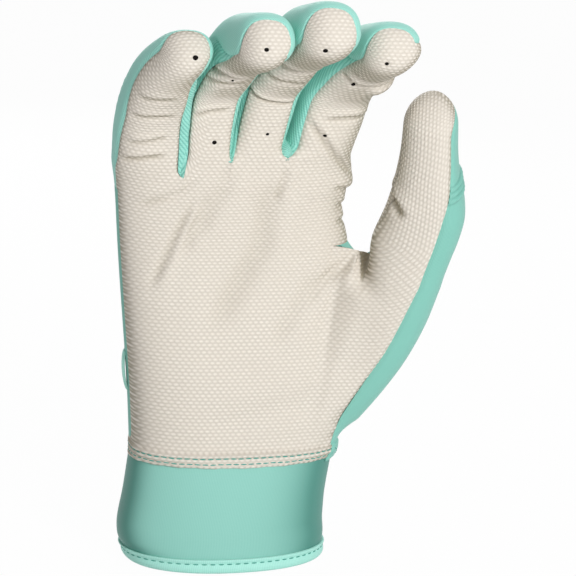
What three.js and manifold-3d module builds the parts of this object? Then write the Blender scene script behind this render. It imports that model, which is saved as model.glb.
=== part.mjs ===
// Right-hand batting glove, filled out as on a half-closed hand. Millimetres.
// +Z runs up the hand, the palm faces -Y and the thumb is on the +X side.
// The origin is the middle of the wrist opening, on the plane of the hem.
import * as THREE from "three";
import { mergeVertices } from "three/addons/utils/BufferGeometryUtils.js";
import Module from "manifold-3d";

const wasm = await Module();
wasm.setup();

// Walls and clearances
const leather = 1.2;
const fabric = 1.4;
const seamGap = 0.35; // between two panels that are sewn edge to edge, or one on the other
const seamDegrees = 1; // the same, round a finger: left on one side of the seam
const jointGap = 0.4; // from a flex line to the panel on each side of it
const fingerGap = 1; // between two neighbouring fingers

// Cuff; each size is given at heights above the hem
const cuffHeight = 42;
const cuffHalfWidth = [[0, 40.8], [14, 40], [26, 39.4], [cuffHeight, 40]];
const cuffHalfDepth = [[0, 24.5], [cuffHeight, 22.5]];
const cuffCentre = [[0, 0], [20, -0.4], [cuffHeight, 2]];
const cuffSquareness = 2.2;
const cuffSideSeam = 8; // degrees from the widest line round to the palm side
const hemHeight = 5.5;
const hemProud = 0.7; // how far the binding stands out past the cuff, inside and out
const slitHem = 11; // width of the wrist slit at the hem, and at the top of the cuff
const slitTop = 5;
const tongueHalf = 17; // degrees each side of the slit's middle
const palmHemHeight = 6;
const palmHemThickness = 1;

// Closure strap, in degrees round the cuff from the thumb side over the back
const strapWidth = 28;
const strapMiddle = 23; // height of the strap's centre line
const strapThickness = 1.6;
const strapRoot = 42;
const strapTip = 128;
const anchorLength = 16;
const pullTabLength = 8;
const pullTabInset = 5;
const padThickness = 1.1;
const padFrom = 104;
const padTo = 125;
const padInset = 3;

// Palm, from the cuff seam up to the finger roots; stations run along its spine
const palmLength = 117;
const palmLeft = [[0, -37.4], [25, -39.6], [62, -44.4], [96, -48.4], [palmLength, -50.6]];
const palmRight = [[0, 42], [30, 42.5], [78, 41], [100, 38.6], [palmLength, 38.4]];
const palmFront = [[0, 22], [30, 21], [70, 17], [palmLength, 13]];
const palmBack = [[0, 22], [30, 18.5], [70, 14.5], [palmLength, 12.4]];
const palmSquareness = 2.7;
const palmBend = { at: 92, over: 70, turn: 20 };
const littleRootDrop = 6; // the little finger's root sits this much lower
const webThickness = 2.5;
const webWidth = 5;

// Fingers from the thumb side: half widths and half depths at the root and the tip,
// the middle joint and the tip measured from the root, the lean, and the curl at the two joints
const halfClosed = [33, 22];
const fingers = [
  { name: "index", root: [12.2, 11.4], tip: [10, 9.8], joint: 26, length: 73, lean: 0.15, curl: halfClosed },
  { name: "middle", root: [10.2, 11.6], tip: [9.6, 9.8], joint: 28, length: 81, lean: 0.145, curl: halfClosed },
  { name: "ring", root: [9.3, 11.4], tip: [9.1, 9.5], joint: 27, length: 75, lean: 0.125, curl: halfClosed },
  { name: "little", root: [11.8, 11.2], tip: [9.6, 9.2], joint: 24, length: 64, lean: 0.04, curl: [24, 18] },
];
const indexCentre = 26.3;
const fingerSquareness = 2.4;
const curlSpan = 15; // a joint's curl is spread over this much of the finger
const lastJoint = 24; // the fixed end joint's distance from the tip
const tipLift = 0.4; // the tip's point lies this share of its half depth towards the back
const sideSeamFront = 27; // degrees from the side line to the front seam and the back seam
const sideSeamBack = 22;
const seamRun = 24; // the side panels taper out over this length before the tip
const knuckleGive = 15; // how far a finger can straighten at its root, and at its middle joint
const jointGive = 20;
const sidePanelStop = 0.4; // share of the tip panels' rows that the side panels run beside
const flexReach = 24; // a flex line's gap never runs further than this
const insertReach = 20; // a flex insert reaches this far past the side line, degrees
const tipClosure = 0.03; // the panels stop this short of the tip's point
const ventRadius = 0.9;
const vents = { index: [12, 42, 60], middle: [13, 68], ring: [9, 40, 63], little: [52] };

// Thumb: its spine climbs from inside the wrist, past the crotch, to the tip
const thumbPath = [
  [22, 2, 46],
  [41, -5, 74],
  [56, -14, 103],
  [63, -22, 130],
  [62.5, -30, 155],
  [58.5, -38, 181],
];
const thumbHalf = [[0, 13], [0.3, 18], [0.52, 17.5], [0.7, 14], [0.84, 11.6], [1, 10]];
const thumbDepth = [[0, 13], [0.4, 13.5], [0.7, 12.4], [1, 9.8]];
const thumbBack = new THREE.Vector3(0.42, 0.91, 0); // the way its back faces
const thumbRoot = 0.58; // shares of the spine: the flex line at the root, and the joint
const thumbJoint = 0.75;
const thumbGive = 15;
const thumbStart = 0.06;
const thumbSeam = [[0, 46], [0.5, 42], [0.75, 32], [1, 18]]; // degrees in front of the outer side line

// The seam between the palm's leather and the back of the hand: how far behind the middle of the
// hand it starts, how far it comes forward beside the thumb and as the palm bends, and where
const seamBehind = 4;
const seamThumbShift = { by: 16, fromX: 30, overX: 40, overZ: 60 };
const seamBendShift = { by: 10.5, fromZ: 90, overZ: 80 };

const rad = THREE.MathUtils.degToRad;
const smooth = (t) => THREE.MathUtils.smoothstep(t, 0, 1);
const mix = THREE.MathUtils.lerp;

const mint = new THREE.Color(0.46, 0.78, 0.71);
const cloth = (shade, roughness) =>
  new THREE.MeshStandardMaterial({ color: mint.clone().multiplyScalar(shade), roughness, metalness: 0 });
const materials = {
  leather: new THREE.MeshStandardMaterial({ color: 0xded1c4, roughness: 0.62, metalness: 0 }),
  back: cloth(1, 0.55),
  knit: cloth(0.9, 0.85),
  cuff: cloth(0.96, 0.6),
  binding: cloth(1.1, 0.7),
  hook: new THREE.MeshStandardMaterial({ color: 0x9fb8b2, roughness: 0.9, metalness: 0 }),
};

// A smooth curve through [position, value] knots, held level past its ends.
function along(knots, at) {
  const last = knots.length - 1;
  if (at <= knots[0][0]) return knots[0][1];
  if (at >= knots[last][0]) return knots[last][1];
  const k = knots.findIndex((knot, i) => i < last && at <= knots[i + 1][0]);
  const slope = (i) => {
    const a = knots[Math.max(i - 1, 0)];
    const b = knots[Math.min(i + 1, last)];
    return (b[1] - a[1]) / (b[0] - a[0]);
  };
  const span = knots[k + 1][0] - knots[k][0];
  const t = (at - knots[k][0]) / span;
  const start = (2 * t ** 3 - 3 * t ** 2 + 1) * knots[k][1] + (t ** 3 - 2 * t ** 2 + t) * span * slope(k);
  return start + (3 * t ** 2 - 2 * t ** 3) * knots[k + 1][1] + (t ** 3 - t ** 2) * span * slope(k + 1);
}

// A point on a rounded oval; turn 0 is the thumb side, 90 the back of the hand, 270 the palm.
function onOval(turn, halfWidth, halfDepth, squareness) {
  const c = Math.cos(rad(turn));
  const s = Math.sin(rad(turn));
  const power = 2 / squareness;
  return [halfWidth * Math.sign(c) * Math.abs(c) ** power, halfDepth * Math.sign(s) * Math.abs(s) ** power];
}

// A round tip: how far a station lies along the spine at this depth, and how much its section shrinks.
function underTip(station, length, half, depth) {
  const at = station - depth * smooth((station - length) / (2 * half) + 1);
  const past = Math.max(0, (at - length + half) / (half - depth));
  return { at, dome: Math.sqrt(Math.max(0, 1 - past * past)) };
}

// Turns the faces round if they enclose a negative volume.
function facingOut(points, index) {
  let volume = 0;
  for (let i = 0; i < index.length; i += 3) {
    const [a, b, c] = index.slice(i, i + 3).map((k) => points[k]);
    volume += a.dot(b.clone().cross(c));
  }
  const faces = volume > 0 ? index : index.toReversed();
  return new THREE.BufferGeometry().setFromPoints(points).setIndex(faces);
}

// A closed solid from a grid of outer points and the matching inner points.
function solidBetween(outer, inner) {
  const rows = outer.length;
  const columns = outer[0].length;
  const at = (r, c, side) => (side * rows + r) * columns + c;
  const index = [];
  const quad = (a, b, c, d) => index.push(a, b, c, a, c, d);
  for (let r = 0; r + 1 < rows; r++) {
    for (let c = 0; c + 1 < columns; c++) {
      quad(at(r, c, 0), at(r, c + 1, 0), at(r + 1, c + 1, 0), at(r + 1, c, 0));
      quad(at(r, c, 1), at(r + 1, c, 1), at(r + 1, c + 1, 1), at(r, c + 1, 1));
    }
    quad(at(r, 0, 0), at(r + 1, 0, 0), at(r + 1, 0, 1), at(r, 0, 1));
    const last = columns - 1;
    quad(at(r, last, 0), at(r, last, 1), at(r + 1, last, 1), at(r + 1, last, 0));
  }
  for (let c = 0; c + 1 < columns; c++) {
    quad(at(0, c, 0), at(0, c, 1), at(0, c + 1, 1), at(0, c + 1, 0));
    const last = rows - 1;
    quad(at(last, c, 0), at(last, c + 1, 0), at(last, c + 1, 1), at(last, c, 1));
  }
  return facingOut([...outer.flat(), ...inner.flat()], index);
}

// A closed solid from whole rings, with a flat cap at each end.
function solidFromRings(rings) {
  const count = rings[0].length;
  const points = rings.flat();
  const index = [];
  for (let r = 0; r + 1 < rings.length; r++)
    for (let c = 0; c < count; c++) {
      const a = r * count + c;
      const b = r * count + ((c + 1) % count);
      index.push(a, b, b + count, a, b + count, a + count);
    }
  const cap = (r, swap) => {
    const middle = points.length;
    points.push(rings[r].reduce((sum, p) => sum.add(p), new THREE.Vector3()).divideScalar(count));
    for (let c = 0; c < count; c++) {
      const edge = [r * count + c, r * count + ((c + 1) % count)];
      index.push(middle, edge[swap], edge[1 - swap]);
    }
  };
  cap(0, 1);
  cap(rings.length - 1, 0);
  return facingOut(points, index);
}

// A panel: the stretch of a surface between two ends and two edges, with its wall.
// surface(station, turn, depth) gives a point; an end may depend on the turn, an edge on the station.
// With a stop, the panel ends at that share of its rows.
function panel(surface, shape) {
  const { ends, edges, rows, columns } = shape;
  const { outer = 0, inner = fabric, spread = (v) => v, stop = 1 } = shape;
  const value = (x, at) => (typeof x === "function" ? x(at) : x);
  const place = (v, c, depth) => {
    let station = mix(value(ends[0], 90), value(ends[1], 90), v);
    let turn = 0;
    for (let settle = 0; settle < 6; settle++) {
      turn = mix(value(edges[0], station), value(edges[1], station), c);
      station = mix(value(ends[0], turn), value(ends[1], turn), v);
    }
    return surface(station, turn, depth);
  };
  const count = (n) => Array.from({ length: n + 1 }, (_, i) => i / n);
  const shares = count(rows).filter((v) => v <= stop);
  const grid = (depth) => shares.map((v) => count(columns).map((c) => place(spread(v), c, depth)));
  return solidBetween(grid(outer), grid(inner));
}

// Boolean work: geometry to solid and back.
function toSolid(geometry) {
  const bare = new THREE.BufferGeometry();
  bare.setAttribute("position", geometry.getAttribute("position")).setIndex(geometry.index);
  const merged = mergeVertices(bare, 1e-4);
  const triVerts = new Uint32Array(merged.index.array);
  const vertProperties = merged.attributes.position.array;
  return new wasm.Manifold(new wasm.Mesh({ numProp: 3, vertProperties, triVerts }));
}

function toGeometry(solid) {
  const mesh = solid.getMesh();
  return new THREE.BufferGeometry()
    .setAttribute("position", new THREE.BufferAttribute(mesh.vertProperties, 3))
    .setIndex(new THREE.BufferAttribute(mesh.triVerts, 1));
}

function piece(name, geometry, material) {
  const mesh = new THREE.Mesh(geometry, material);
  mesh.name = name;
  return mesh;
}

// Cuff surface: upright ovals.
function cuffPoint(z, turn, depth) {
  const half = along(cuffHalfWidth, z) - depth;
  const [x, y] = onOval(turn, half, along(cuffHalfDepth, z) - depth, cuffSquareness);
  return new THREE.Vector3(x + along(cuffCentre, z), y, z);
}

function makeCuff() {
  const low = hemHeight + seamGap;
  const top = cuffHeight - seamGap;
  const slitWidth = (z) => mix(slitHem, slitTop, z / cuffHeight);
  const slit = (z) => THREE.MathUtils.radToDeg(slitWidth(z) / 2 / along(cuffHalfWidth, z));
  const sides = [180 + cuffSideSeam, 360 - cuffSideSeam];
  const wall = (name, edges, columns) =>
    piece(name, panel(cuffPoint, { ends: [low, top], edges, rows: 4, columns }), materials.cuff);
  const hem = panel(cuffPoint, {
    ends: [0, hemHeight],
    edges: [(z) => 90 + slit(z), (z) => 450 - slit(z)],
    rows: 1,
    columns: 36,
    outer: -hemProud,
    inner: fabric + hemProud,
  });
  const tongue = panel(cuffPoint, {
    ends: [low, top],
    edges: [90 - tongueHalf, 90 + tongueHalf],
    rows: 2,
    columns: 6,
    outer: fabric + seamGap,
    inner: 2 * fabric + seamGap,
  });
  return [
    wall("cuff_front", [sides[0] + seamDegrees, sides[1] - seamDegrees], 14),
    wall("cuff_back_outer", [(z) => 90 + slit(z), sides[0]], 8),
    wall("cuff_back_inner", [sides[1] - 360, (z) => 90 - slit(z)], 8),
    piece("hem_binding", hem, materials.binding),
    piece("wrist_tongue", tongue, materials.knit),
  ];
}

// The strap lies over two pads: loop on the cuff, hook under the strap.
function makeStrap() {
  const ends = [strapMiddle - strapWidth / 2, strapMiddle + strapWidth / 2];
  const inset = (by) => [ends[0] + by, ends[1] - by];
  const hookLow = padThickness + 2 * seamGap;
  const strapLow = hookLow + padThickness + seamGap;
  const strapTop = strapLow + strapThickness;
  const band = (name, edges, span, [low, top], columns, material) => {
    const shape = { ends: span, edges, rows: 2, columns, outer: -top, inner: -low };
    return piece(name, panel(cuffPoint, shape), material);
  };
  const tab = [strapTip + seamDegrees, strapTip + pullTabLength];
  const anchor = [strapRoot - anchorLength, strapRoot - seamDegrees];
  const pad = [padFrom, padTo];
  return [
    band("strap_anchor", anchor, ends, [seamGap, strapTop - strapThickness / 2], 4, materials.cuff),
    band("loop_pad", pad, inset(padInset), [seamGap, seamGap + padThickness], 5, materials.hook),
    band("hook_pad", pad, inset(padInset), [hookLow, hookLow + padThickness], 5, materials.hook),
    band("wrist_strap", [strapRoot, strapTip], ends, [strapLow, strapTop], 18, materials.cuff),
    band("pull_tab", tab, inset(pullTabInset), [strapLow, strapTop], 3, materials.binding),
  ];
}

// A spine that curls forward in an upright plane: its place and its lean at each station.
function spine(start, lean, curls) {
  const leanAt = (s) => curls.reduce((sum, b) => sum + b.turn * smooth((s - b.at) / b.over + 0.5), lean);
  return (s) => {
    const steps = Math.max(1, Math.ceil(Math.abs(s)));
    const at = { y: start.y, z: start.z, lean: leanAt(s) };
    for (let i = 0; i < steps; i++) {
      const angle = rad(leanAt(((i + 0.5) * s) / steps));
      at.y -= (Math.sin(angle) * s) / steps;
      at.z += (Math.cos(angle) * s) / steps;
    }
    return at;
  };
}

// A section's point: across the hand, and towards its back, square to the spine.
function onSpine(at, across, back) {
  const angle = rad(at.lean);
  return new THREE.Vector3(across, at.y + back * Math.cos(angle), at.z + back * Math.sin(angle));
}

// Finger centres follow from their widths, starting at the index finger.
const fingerCentres = fingers.map((finger, i) => {
  const before = fingers.slice(0, i).reduce((sum, f) => sum + 2 * f.root[0] + fingerGap, 0);
  return indexCentre + fingers[0].root[0] - before - finger.root[0];
});
const webPlaces = fingers.slice(1).map((f, i) => fingerCentres[i + 1] + f.root[0] + fingerGap / 2);

const palmSpine = spine({ y: 0, z: cuffHeight }, 0, [palmBend]);
const rootDrop = (x) => littleRootDrop * smooth((webPlaces[2] - x) / (2 * webWidth) + 0.75);

function palmPoint(s, turn, depth) {
  const left = along(palmLeft, s);
  const right = along(palmRight, s);
  const half = (right - left) / 2 - depth;
  const thick = along(Math.sin(rad(turn)) > 0 ? palmBack : palmFront, s) - depth;
  const [x, back] = onOval(turn, half, thick, palmSquareness);
  const across = x + (left + right) / 2;
  return onSpine(palmSpine(s - (rootDrop(across) * s) / palmLength), across, back);
}

// Thumb surface: sections square to a spine that climbs out of the palm.
const thumbPoints = thumbPath.map((p) => new THREE.Vector3(...p));
const thumbSpine = new THREE.CatmullRomCurve3(thumbPoints, false, "centripetal");
const thumbLength = thumbSpine.getLength();

function thumbFrame(share) {
  const t = THREE.MathUtils.clamp(share, 0, 1);
  const ahead = thumbSpine.getTangentAt(t);
  const back = thumbBack.clone().addScaledVector(ahead, -thumbBack.dot(ahead)).normalize();
  return { centre: thumbSpine.getPointAt(t), ahead, back, side: back.clone().cross(ahead) };
}

function thumbPoint(share, turn, depth) {
  const half = along(thumbHalf, share);
  const thick = along(thumbDepth, share);
  const { at, dome } = underTip(share * thumbLength, thumbLength, half, depth);
  const { centre, side, back } = thumbFrame(at / thumbLength);
  const [x, n] = onOval(turn, (half - depth) * dome, (thick - depth) * dome, fingerSquareness);
  return centre.addScaledVector(side, x).addScaledVector(back, n + (1 - dome) * tipLift * thick);
}

// The palm and the thumb's root are one shell, cut along the seam into leather and back.
function makeHand() {
  const rings = (surface, [from, to], count, sides, depth) =>
    Array.from({ length: count + 1 }, (_, i) =>
      Array.from({ length: sides }, (_, c) => surface(mix(from, to, i / count), (c * 360) / sides, depth)),
    );
  const open = 2; // the hollow runs this far past both ends
  const palm = (depth, over) =>
    toSolid(solidFromRings(rings(palmPoint, [seamGap - over, palmLength - seamGap + over], 9, 40, depth)));
  const thumbEnd = thumbRoot - jointGap / thumbLength;
  const thumb = (depth, over) =>
    toSolid(solidFromRings(rings(thumbPoint, [thumbStart, thumbEnd + over / thumbLength], 7, 24, depth)));
  const shell = palm(0, 0).add(thumb(0, 0)).subtract(palm(leather, open)).subtract(thumb(leather, open));
  return [
    piece("palm_panel", toGeometry(shell.intersect(toSolid(frontBlock(0)))), materials.leather),
    piece("backhand_panel", toGeometry(shell.subtract(toSolid(frontBlock(seamGap)))), materials.back),
  ];
}

// A block in front of the seam. Its edge follows the seam up the outer side of the thumb.
function frontBlock(gap) {
  const reach = 90; // past the hand on every open side
  const edgeInset = 3;
  const steps = 24;
  const lastShare = thumbRoot + 0.1; // a little past the root's flex line
  const seamPoint = (share) => thumbPoint(share, 360 - along(thumbSeam, share), 0);
  const shares = Array.from({ length: steps + 1 }, (_, i) => (lastShare * i) / steps);
  const seamKnots = shares.map((share) => [seamPoint(share).z, seamPoint(share).x]);
  const seamX = (z) => Math.max(along(seamKnots, z), along(palmRight, z - cuffHeight) - edgeInset);
  const middle = (x, z) => {
    const nearThumb = smooth((x - seamThumbShift.fromX) / seamThumbShift.overX);
    const upTheThumb = smooth((z - cuffHeight) / seamThumbShift.overZ);
    const bent = smooth((z - seamBendShift.fromZ) / seamBendShift.overZ);
    return seamBehind - seamThumbShift.by * nearThumb * upTheThumb - seamBendShift.by * bent;
  };
  const block = (z, turn, depth) => {
    const x = mix(-reach, seamX(z) + gap, turn);
    return new THREE.Vector3(x, depth ? middle(x, z) + gap : -reach, z);
  };
  const past = 20;
  const ends = [cuffHeight - 1, cuffHeight + palmLength + past];
  return panel(block, { ends, edges: [0, 1], rows: 12, columns: 12, outer: 0, inner: 1 });
}

function makePalmHem() {
  const band = panel(palmPoint, {
    ends: [seamGap, palmHemHeight],
    edges: [180 + cuffSideSeam, 360 - cuffSideSeam],
    rows: 1,
    columns: 18,
    outer: -palmHemThickness - seamGap,
    inner: -seamGap,
  });
  return piece("palm_hem", band, materials.leather);
}

// A narrow saddle that closes the palm's mouth between two fingers.
function makeWeb(name, place) {
  const drop = Math.max(rootDrop(place - webWidth), rootDrop(place + webWidth));
  const top = palmLength - drop - seamGap;
  const saddle = (back, across, depth) => onSpine(palmSpine(top - depth), place + across, back);
  const half = (along(palmRight, palmLength) - along(palmLeft, palmLength)) / 2;
  const off = Math.abs(place - along(palmRight, palmLength) + half) + webWidth / 2;
  const room = (1 - (off / half) ** palmSquareness) ** (1 / palmSquareness);
  const inset = leather + 2 * seamGap;
  const ends = [inset - along(palmFront, palmLength) * room, along(palmBack, palmLength) * room - inset];
  const edges = [-webWidth / 2, webWidth / 2];
  const shape = panel(saddle, { ends, edges, rows: 4, columns: 1, outer: 0, inner: webThickness });
  return piece(name, shape, materials.knit);
}

// A finger's own surface, seams and flex lines, worked out from its row in the table.
function layOut(finger, centre) {
  const start = palmSpine(palmLength - rootDrop(centre));
  const curls = [
    { at: finger.joint, over: curlSpan, turn: finger.curl[0] },
    { at: finger.length - lastJoint, over: curlSpan, turn: finger.curl[1] },
  ];
  const line = spine(start, start.lean, curls);
  const size = (s) => {
    const t = Math.min(1, Math.max(0, s) / (finger.length - finger.tip[0]));
    return [mix(finger.root[0], finger.tip[0], t), mix(finger.root[1], finger.tip[1], t)];
  };
  const surface = (s, turn, depth) => {
    const [half, thick] = size(s);
    const { at, dome } = underTip(s, finger.length, half, depth);
    const [x, back] = onOval(turn, (half - depth) * dome, (thick - depth) * dome, fingerSquareness);
    return onSpine(line(at), centre + finger.lean * at + x, back + (1 - dome) * tipLift * thick);
  };
  const taperStart = finger.length - finger.tip[0] - seamRun;
  const taper = (s) => 1 - smooth((s - taperStart) / seamRun);
  const frontSeam = (s) => sideSeamFront * taper(s);
  const backSeam = (s) => sideSeamBack * taper(s);
  const flex = (at, give) => {
    const { lean } = line(at);
    const hinge = onSpine(line(at), 0, -size(at)[1]);
    const ahead = new THREE.Vector3(0, -Math.sin(rad(lean + give)), Math.cos(rad(lean + give)));
    return (turn) => stationPast(surface, hinge, ahead, turn, [at, at + flexReach]);
  };
  return { surface, frontSeam, backSeam, flex };
}

// The station where a surface comes clear of a plane through the hinge, along one turn.
// Seen from a joint bent back to its limit, that plane is the end of the length before it.
function stationPast(surface, hinge, ahead, turn, [from, to]) {
  const clear = (s) => surface(s, turn, 0).sub(hinge).dot(ahead) > jointGap;
  let [low, high] = [from, to];
  for (let halving = 0; halving < 30; halving++) {
    const middle = (low + high) / 2;
    if (clear(middle)) high = middle;
    else low = middle;
  }
  return high;
}

// One length of a finger: front, back and its side panels. The index finger's leather wraps its
// outer side and the little finger's back wraps its own, so those sides have no panel between.
function makeSegment(finger, laid, label, ends, rows, spread, stop) {
  const { surface, frontSeam, backSeam } = laid;
  const wrapFront = finger.name === "index";
  const wrapBack = finger.name === "little";
  const front = [
    (s) => 180 + frontSeam(s) + seamDegrees,
    (s) => (wrapFront ? 360 + backSeam(s) : 360 - frontSeam(s)) - seamDegrees,
  ];
  const back = [
    (s) => backSeam(s) + seamDegrees,
    (s) => (wrapBack ? 180 + frontSeam(s) : 180 - backSeam(s)) - seamDegrees,
  ];
  const sides = {
    inner: [(s) => -frontSeam(s), (s) => backSeam(s)],
    outer: [(s) => 180 - backSeam(s), (s) => 180 + frontSeam(s)],
  };
  const name = (part) => `${finger.name}_${part}_${label}`;
  const leatherShape = panel(surface, { ends, edges: front, rows, columns: 7, inner: leather, spread });
  const made = [
    piece(name("front"), cutVents(leatherShape, finger, laid, ends), materials.leather),
    piece(name("back"), panel(surface, { ends, edges: back, rows, columns: 6, spread }), materials.back),
  ];
  for (const [side, edges] of Object.entries(sides)) {
    if (side === "inner" ? wrapFront : wrapBack) continue;
    const shape = { ends, edges, rows, columns: 2, spread, stop };
    made.push(piece(name(`${side}_side`), panel(surface, shape), materials.knit));
  }
  return made;
}

// Vent holes through the leather, on the middle of the finger's front.
function cutVents(geometry, finger, laid, ends) {
  const first = ends[0](270);
  const inside = vents[finger.name].filter((s) => s > first + ventRadius && s < ends[1] - ventRadius);
  if (!inside.length) return geometry;
  const drill = inside.map((s) => {
    const outer = laid.surface(s, 270, -leather);
    const inner = laid.surface(s, 270, 2 * leather);
    const run = inner.clone().sub(outer);
    const bit = new THREE.CylinderGeometry(ventRadius, ventRadius, run.length(), 8);
    const upright = new THREE.Vector3(0, 1, 0);
    const aim = new THREE.Quaternion().setFromUnitVectors(upright, run.clone().normalize());
    bit.applyQuaternion(aim).translate(...outer.add(inner).divideScalar(2).toArray());
    return toSolid(bit);
  });
  return toGeometry(drill.reduce((left, bit) => left.subtract(bit), toSolid(geometry)));
}

// A stretch insert fills the wedge that opens on the back of a flex line.
function makeInsert(name, surface, from, to) {
  const edges = [-insertReach, 180 + insertReach];
  return piece(name, panel(surface, { ends: [from, to], edges, rows: 2, columns: 10 }), materials.knit);
}

function makeFinger(finger, centre) {
  const laid = layOut(finger, centre);
  const root = laid.flex(0, knuckleGive);
  const joint = laid.flex(finger.joint, jointGive);
  const lowerEnd = finger.joint - jointGap;
  const round = (v) => Math.sin((v * Math.PI) / 2);
  return [
    ...makeSegment(finger, laid, "lower", [root, lowerEnd], 4),
    ...makeSegment(finger, laid, "tip", [joint, finger.length - tipClosure], 8, round, sidePanelStop),
    makeInsert(`${finger.name}_knuckle_insert`, laid.surface, seamGap, (turn) => root(turn) - seamGap),
    makeInsert(`${finger.name}_joint_insert`, laid.surface, finger.joint, (turn) => joint(turn) - seamGap),
  ];
}

// The free thumb: two lengths of leather and back, with a stretch insert behind each flex line.
function makeThumb() {
  const flex = (at) => {
    const { centre, ahead, back, side } = thumbFrame(at);
    const hinge = centre.addScaledVector(back, -along(thumbDepth, at));
    ahead.applyAxisAngle(side, rad(thumbGive));
    return (turn) => stationPast(thumbPoint, hinge, ahead, turn, [at, at + flexReach / thumbLength]);
  };
  const seam = (share) => 360 - along(thumbSeam, share);
  const step = seamGap / thumbLength;
  const front = [180 + seamDegrees, (share) => seam(share) - seamDegrees];
  const back = [(share) => seam(share) - 360, 180];
  const length = (label, ends, rows, spread) => {
    const leatherShape = panel(thumbPoint, { ends, edges: front, rows, columns: 8, inner: leather, spread });
    const backShape = panel(thumbPoint, { ends, edges: back, rows, columns: 8, spread });
    return [
      piece(`thumb_front_${label}`, leatherShape, materials.leather),
      piece(`thumb_back_${label}`, backShape, materials.back),
    ];
  };
  const [root, joint] = [flex(thumbRoot), flex(thumbJoint)];
  const round = (v) => Math.sin((v * Math.PI) / 2);
  return [
    ...length("lower", [root, thumbJoint - jointGap / thumbLength], 3),
    ...length("tip", [joint, 1 - tipClosure / thumbLength], 8, round),
    makeInsert("thumb_root_insert", thumbPoint, thumbRoot, (turn) => root(turn) - step),
    makeInsert("thumb_joint_insert", thumbPoint, thumbJoint, (turn) => joint(turn) - step),
  ];
}

const glove = new THREE.Group();
glove.add(...makeCuff(), ...makeStrap(), ...makeHand(), makePalmHem());
webPlaces.forEach((place, i) => {
  glove.add(makeWeb(`${fingers[i].name}_${fingers[i + 1].name}_web`, place));
});
fingers.forEach((finger, i) => glove.add(...makeFinger(finger, fingerCentres[i])));
glove.add(...makeThumb());

export default glove;
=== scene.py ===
import math
import bmesh
import bpy
import numpy as np
from mathutils import Matrix, Vector


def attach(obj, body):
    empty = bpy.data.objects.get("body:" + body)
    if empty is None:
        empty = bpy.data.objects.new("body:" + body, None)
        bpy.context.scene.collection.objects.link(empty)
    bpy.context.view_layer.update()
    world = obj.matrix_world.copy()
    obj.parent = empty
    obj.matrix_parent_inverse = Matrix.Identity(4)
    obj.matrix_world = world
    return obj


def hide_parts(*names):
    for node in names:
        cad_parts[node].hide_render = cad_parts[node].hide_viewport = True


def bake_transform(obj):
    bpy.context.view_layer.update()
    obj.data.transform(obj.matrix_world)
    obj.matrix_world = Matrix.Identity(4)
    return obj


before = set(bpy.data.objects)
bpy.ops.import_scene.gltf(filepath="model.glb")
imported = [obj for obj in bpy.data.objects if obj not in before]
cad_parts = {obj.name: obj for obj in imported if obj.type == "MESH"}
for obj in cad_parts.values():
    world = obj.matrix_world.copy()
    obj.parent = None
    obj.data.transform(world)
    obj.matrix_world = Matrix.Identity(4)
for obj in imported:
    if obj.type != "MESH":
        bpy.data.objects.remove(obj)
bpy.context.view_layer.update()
scene = bpy.context.scene
scene.view_settings.view_transform = "Standard"
mm = 0.001
print("frame loaded")

# camera: where the photograph was taken from, in millimetres and degrees
cameraSpec = {"yaw": 20, "rise": 12, "roll": 3.5, "away": 800, "aim": (21.96, 1.76, 102.86), "lens": 132.5}


def makeCamera(spec):
    yaw, rise, roll = (math.radians(spec[k]) for k in ("yaw", "rise", "roll"))
    back = Vector((-math.sin(yaw) * math.cos(rise), -math.cos(yaw) * math.cos(rise), math.sin(rise)))
    level = Vector((math.cos(yaw), -math.sin(yaw), 0))
    upright = back.cross(level)
    right = level * math.cos(roll) + upright * math.sin(roll)
    up = upright * math.cos(roll) - level * math.sin(roll)
    data = bpy.data.cameras.new("camera")
    data.lens = spec["lens"]
    data.sensor_width = 36
    data.clip_start, data.clip_end = 0.01, 20
    camera = bpy.data.objects.new("camera", data)
    place = Matrix((right, up, back)).transposed().to_4x4()
    place.translation = (Vector(spec["aim"]) + back * spec["away"]) * mm
    camera.matrix_world = place
    scene.collection.objects.link(camera)
    scene.camera = camera


makeCamera(cameraSpec)


# curves and sections, all in millimetres
def smooth(t):
    t = np.clip(t, 0.0, 1.0)
    return t * t * (3 - 2 * t)


def mix(a, b, t):
    return a + (b - a) * t


def along(knots, at):  # a smooth curve through (position, value) knots, level past its ends
    xs, ys = np.array(knots, float).T
    slopes = np.gradient(ys, xs)
    slopes[1:-1] = (ys[2:] - ys[:-2]) / (xs[2:] - xs[:-2])
    at = np.clip(at, xs[0], xs[-1])
    k = np.clip(np.searchsorted(xs, at, side="right") - 1, 0, len(xs) - 2)
    span = xs[k + 1] - xs[k]
    t = (at - xs[k]) / span
    start = (2 * t**3 - 3 * t**2 + 1) * ys[k] + (t**3 - 2 * t**2 + t) * span * slopes[k]
    return start + (3 * t**2 - 2 * t**3) * ys[k + 1] + (t**3 - t**2) * span * slopes[k + 1]


def onOval(turn, halfWidth, halfDepth, squareness):  # turn 0 thumb side, 90 back, 270 palm
    c, s = np.cos(np.radians(turn)), np.sin(np.radians(turn))
    power = 2 / squareness
    return halfWidth * np.sign(c) * np.abs(c) ** power, halfDepth * np.sign(s) * np.abs(s) ** power


def makeSpine(y, z, lean, curls, low, high):  # a line that curls forward, as a table of places
    step = 0.25
    s = np.arange(low, high + step, step)
    angle = np.radians(lean + sum(turn * smooth((s - at) / over + 0.5) for at, over, turn in curls))
    run = lambda rate: np.concatenate([[0], np.cumsum((rate[1:] + rate[:-1]) / 2 * step)])
    ys, zs = run(-np.sin(angle)), run(np.cos(angle))
    return {"s": s, "y": ys - np.interp(0, s, ys) + y, "z": zs - np.interp(0, s, zs) + z, "lean": angle}


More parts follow.
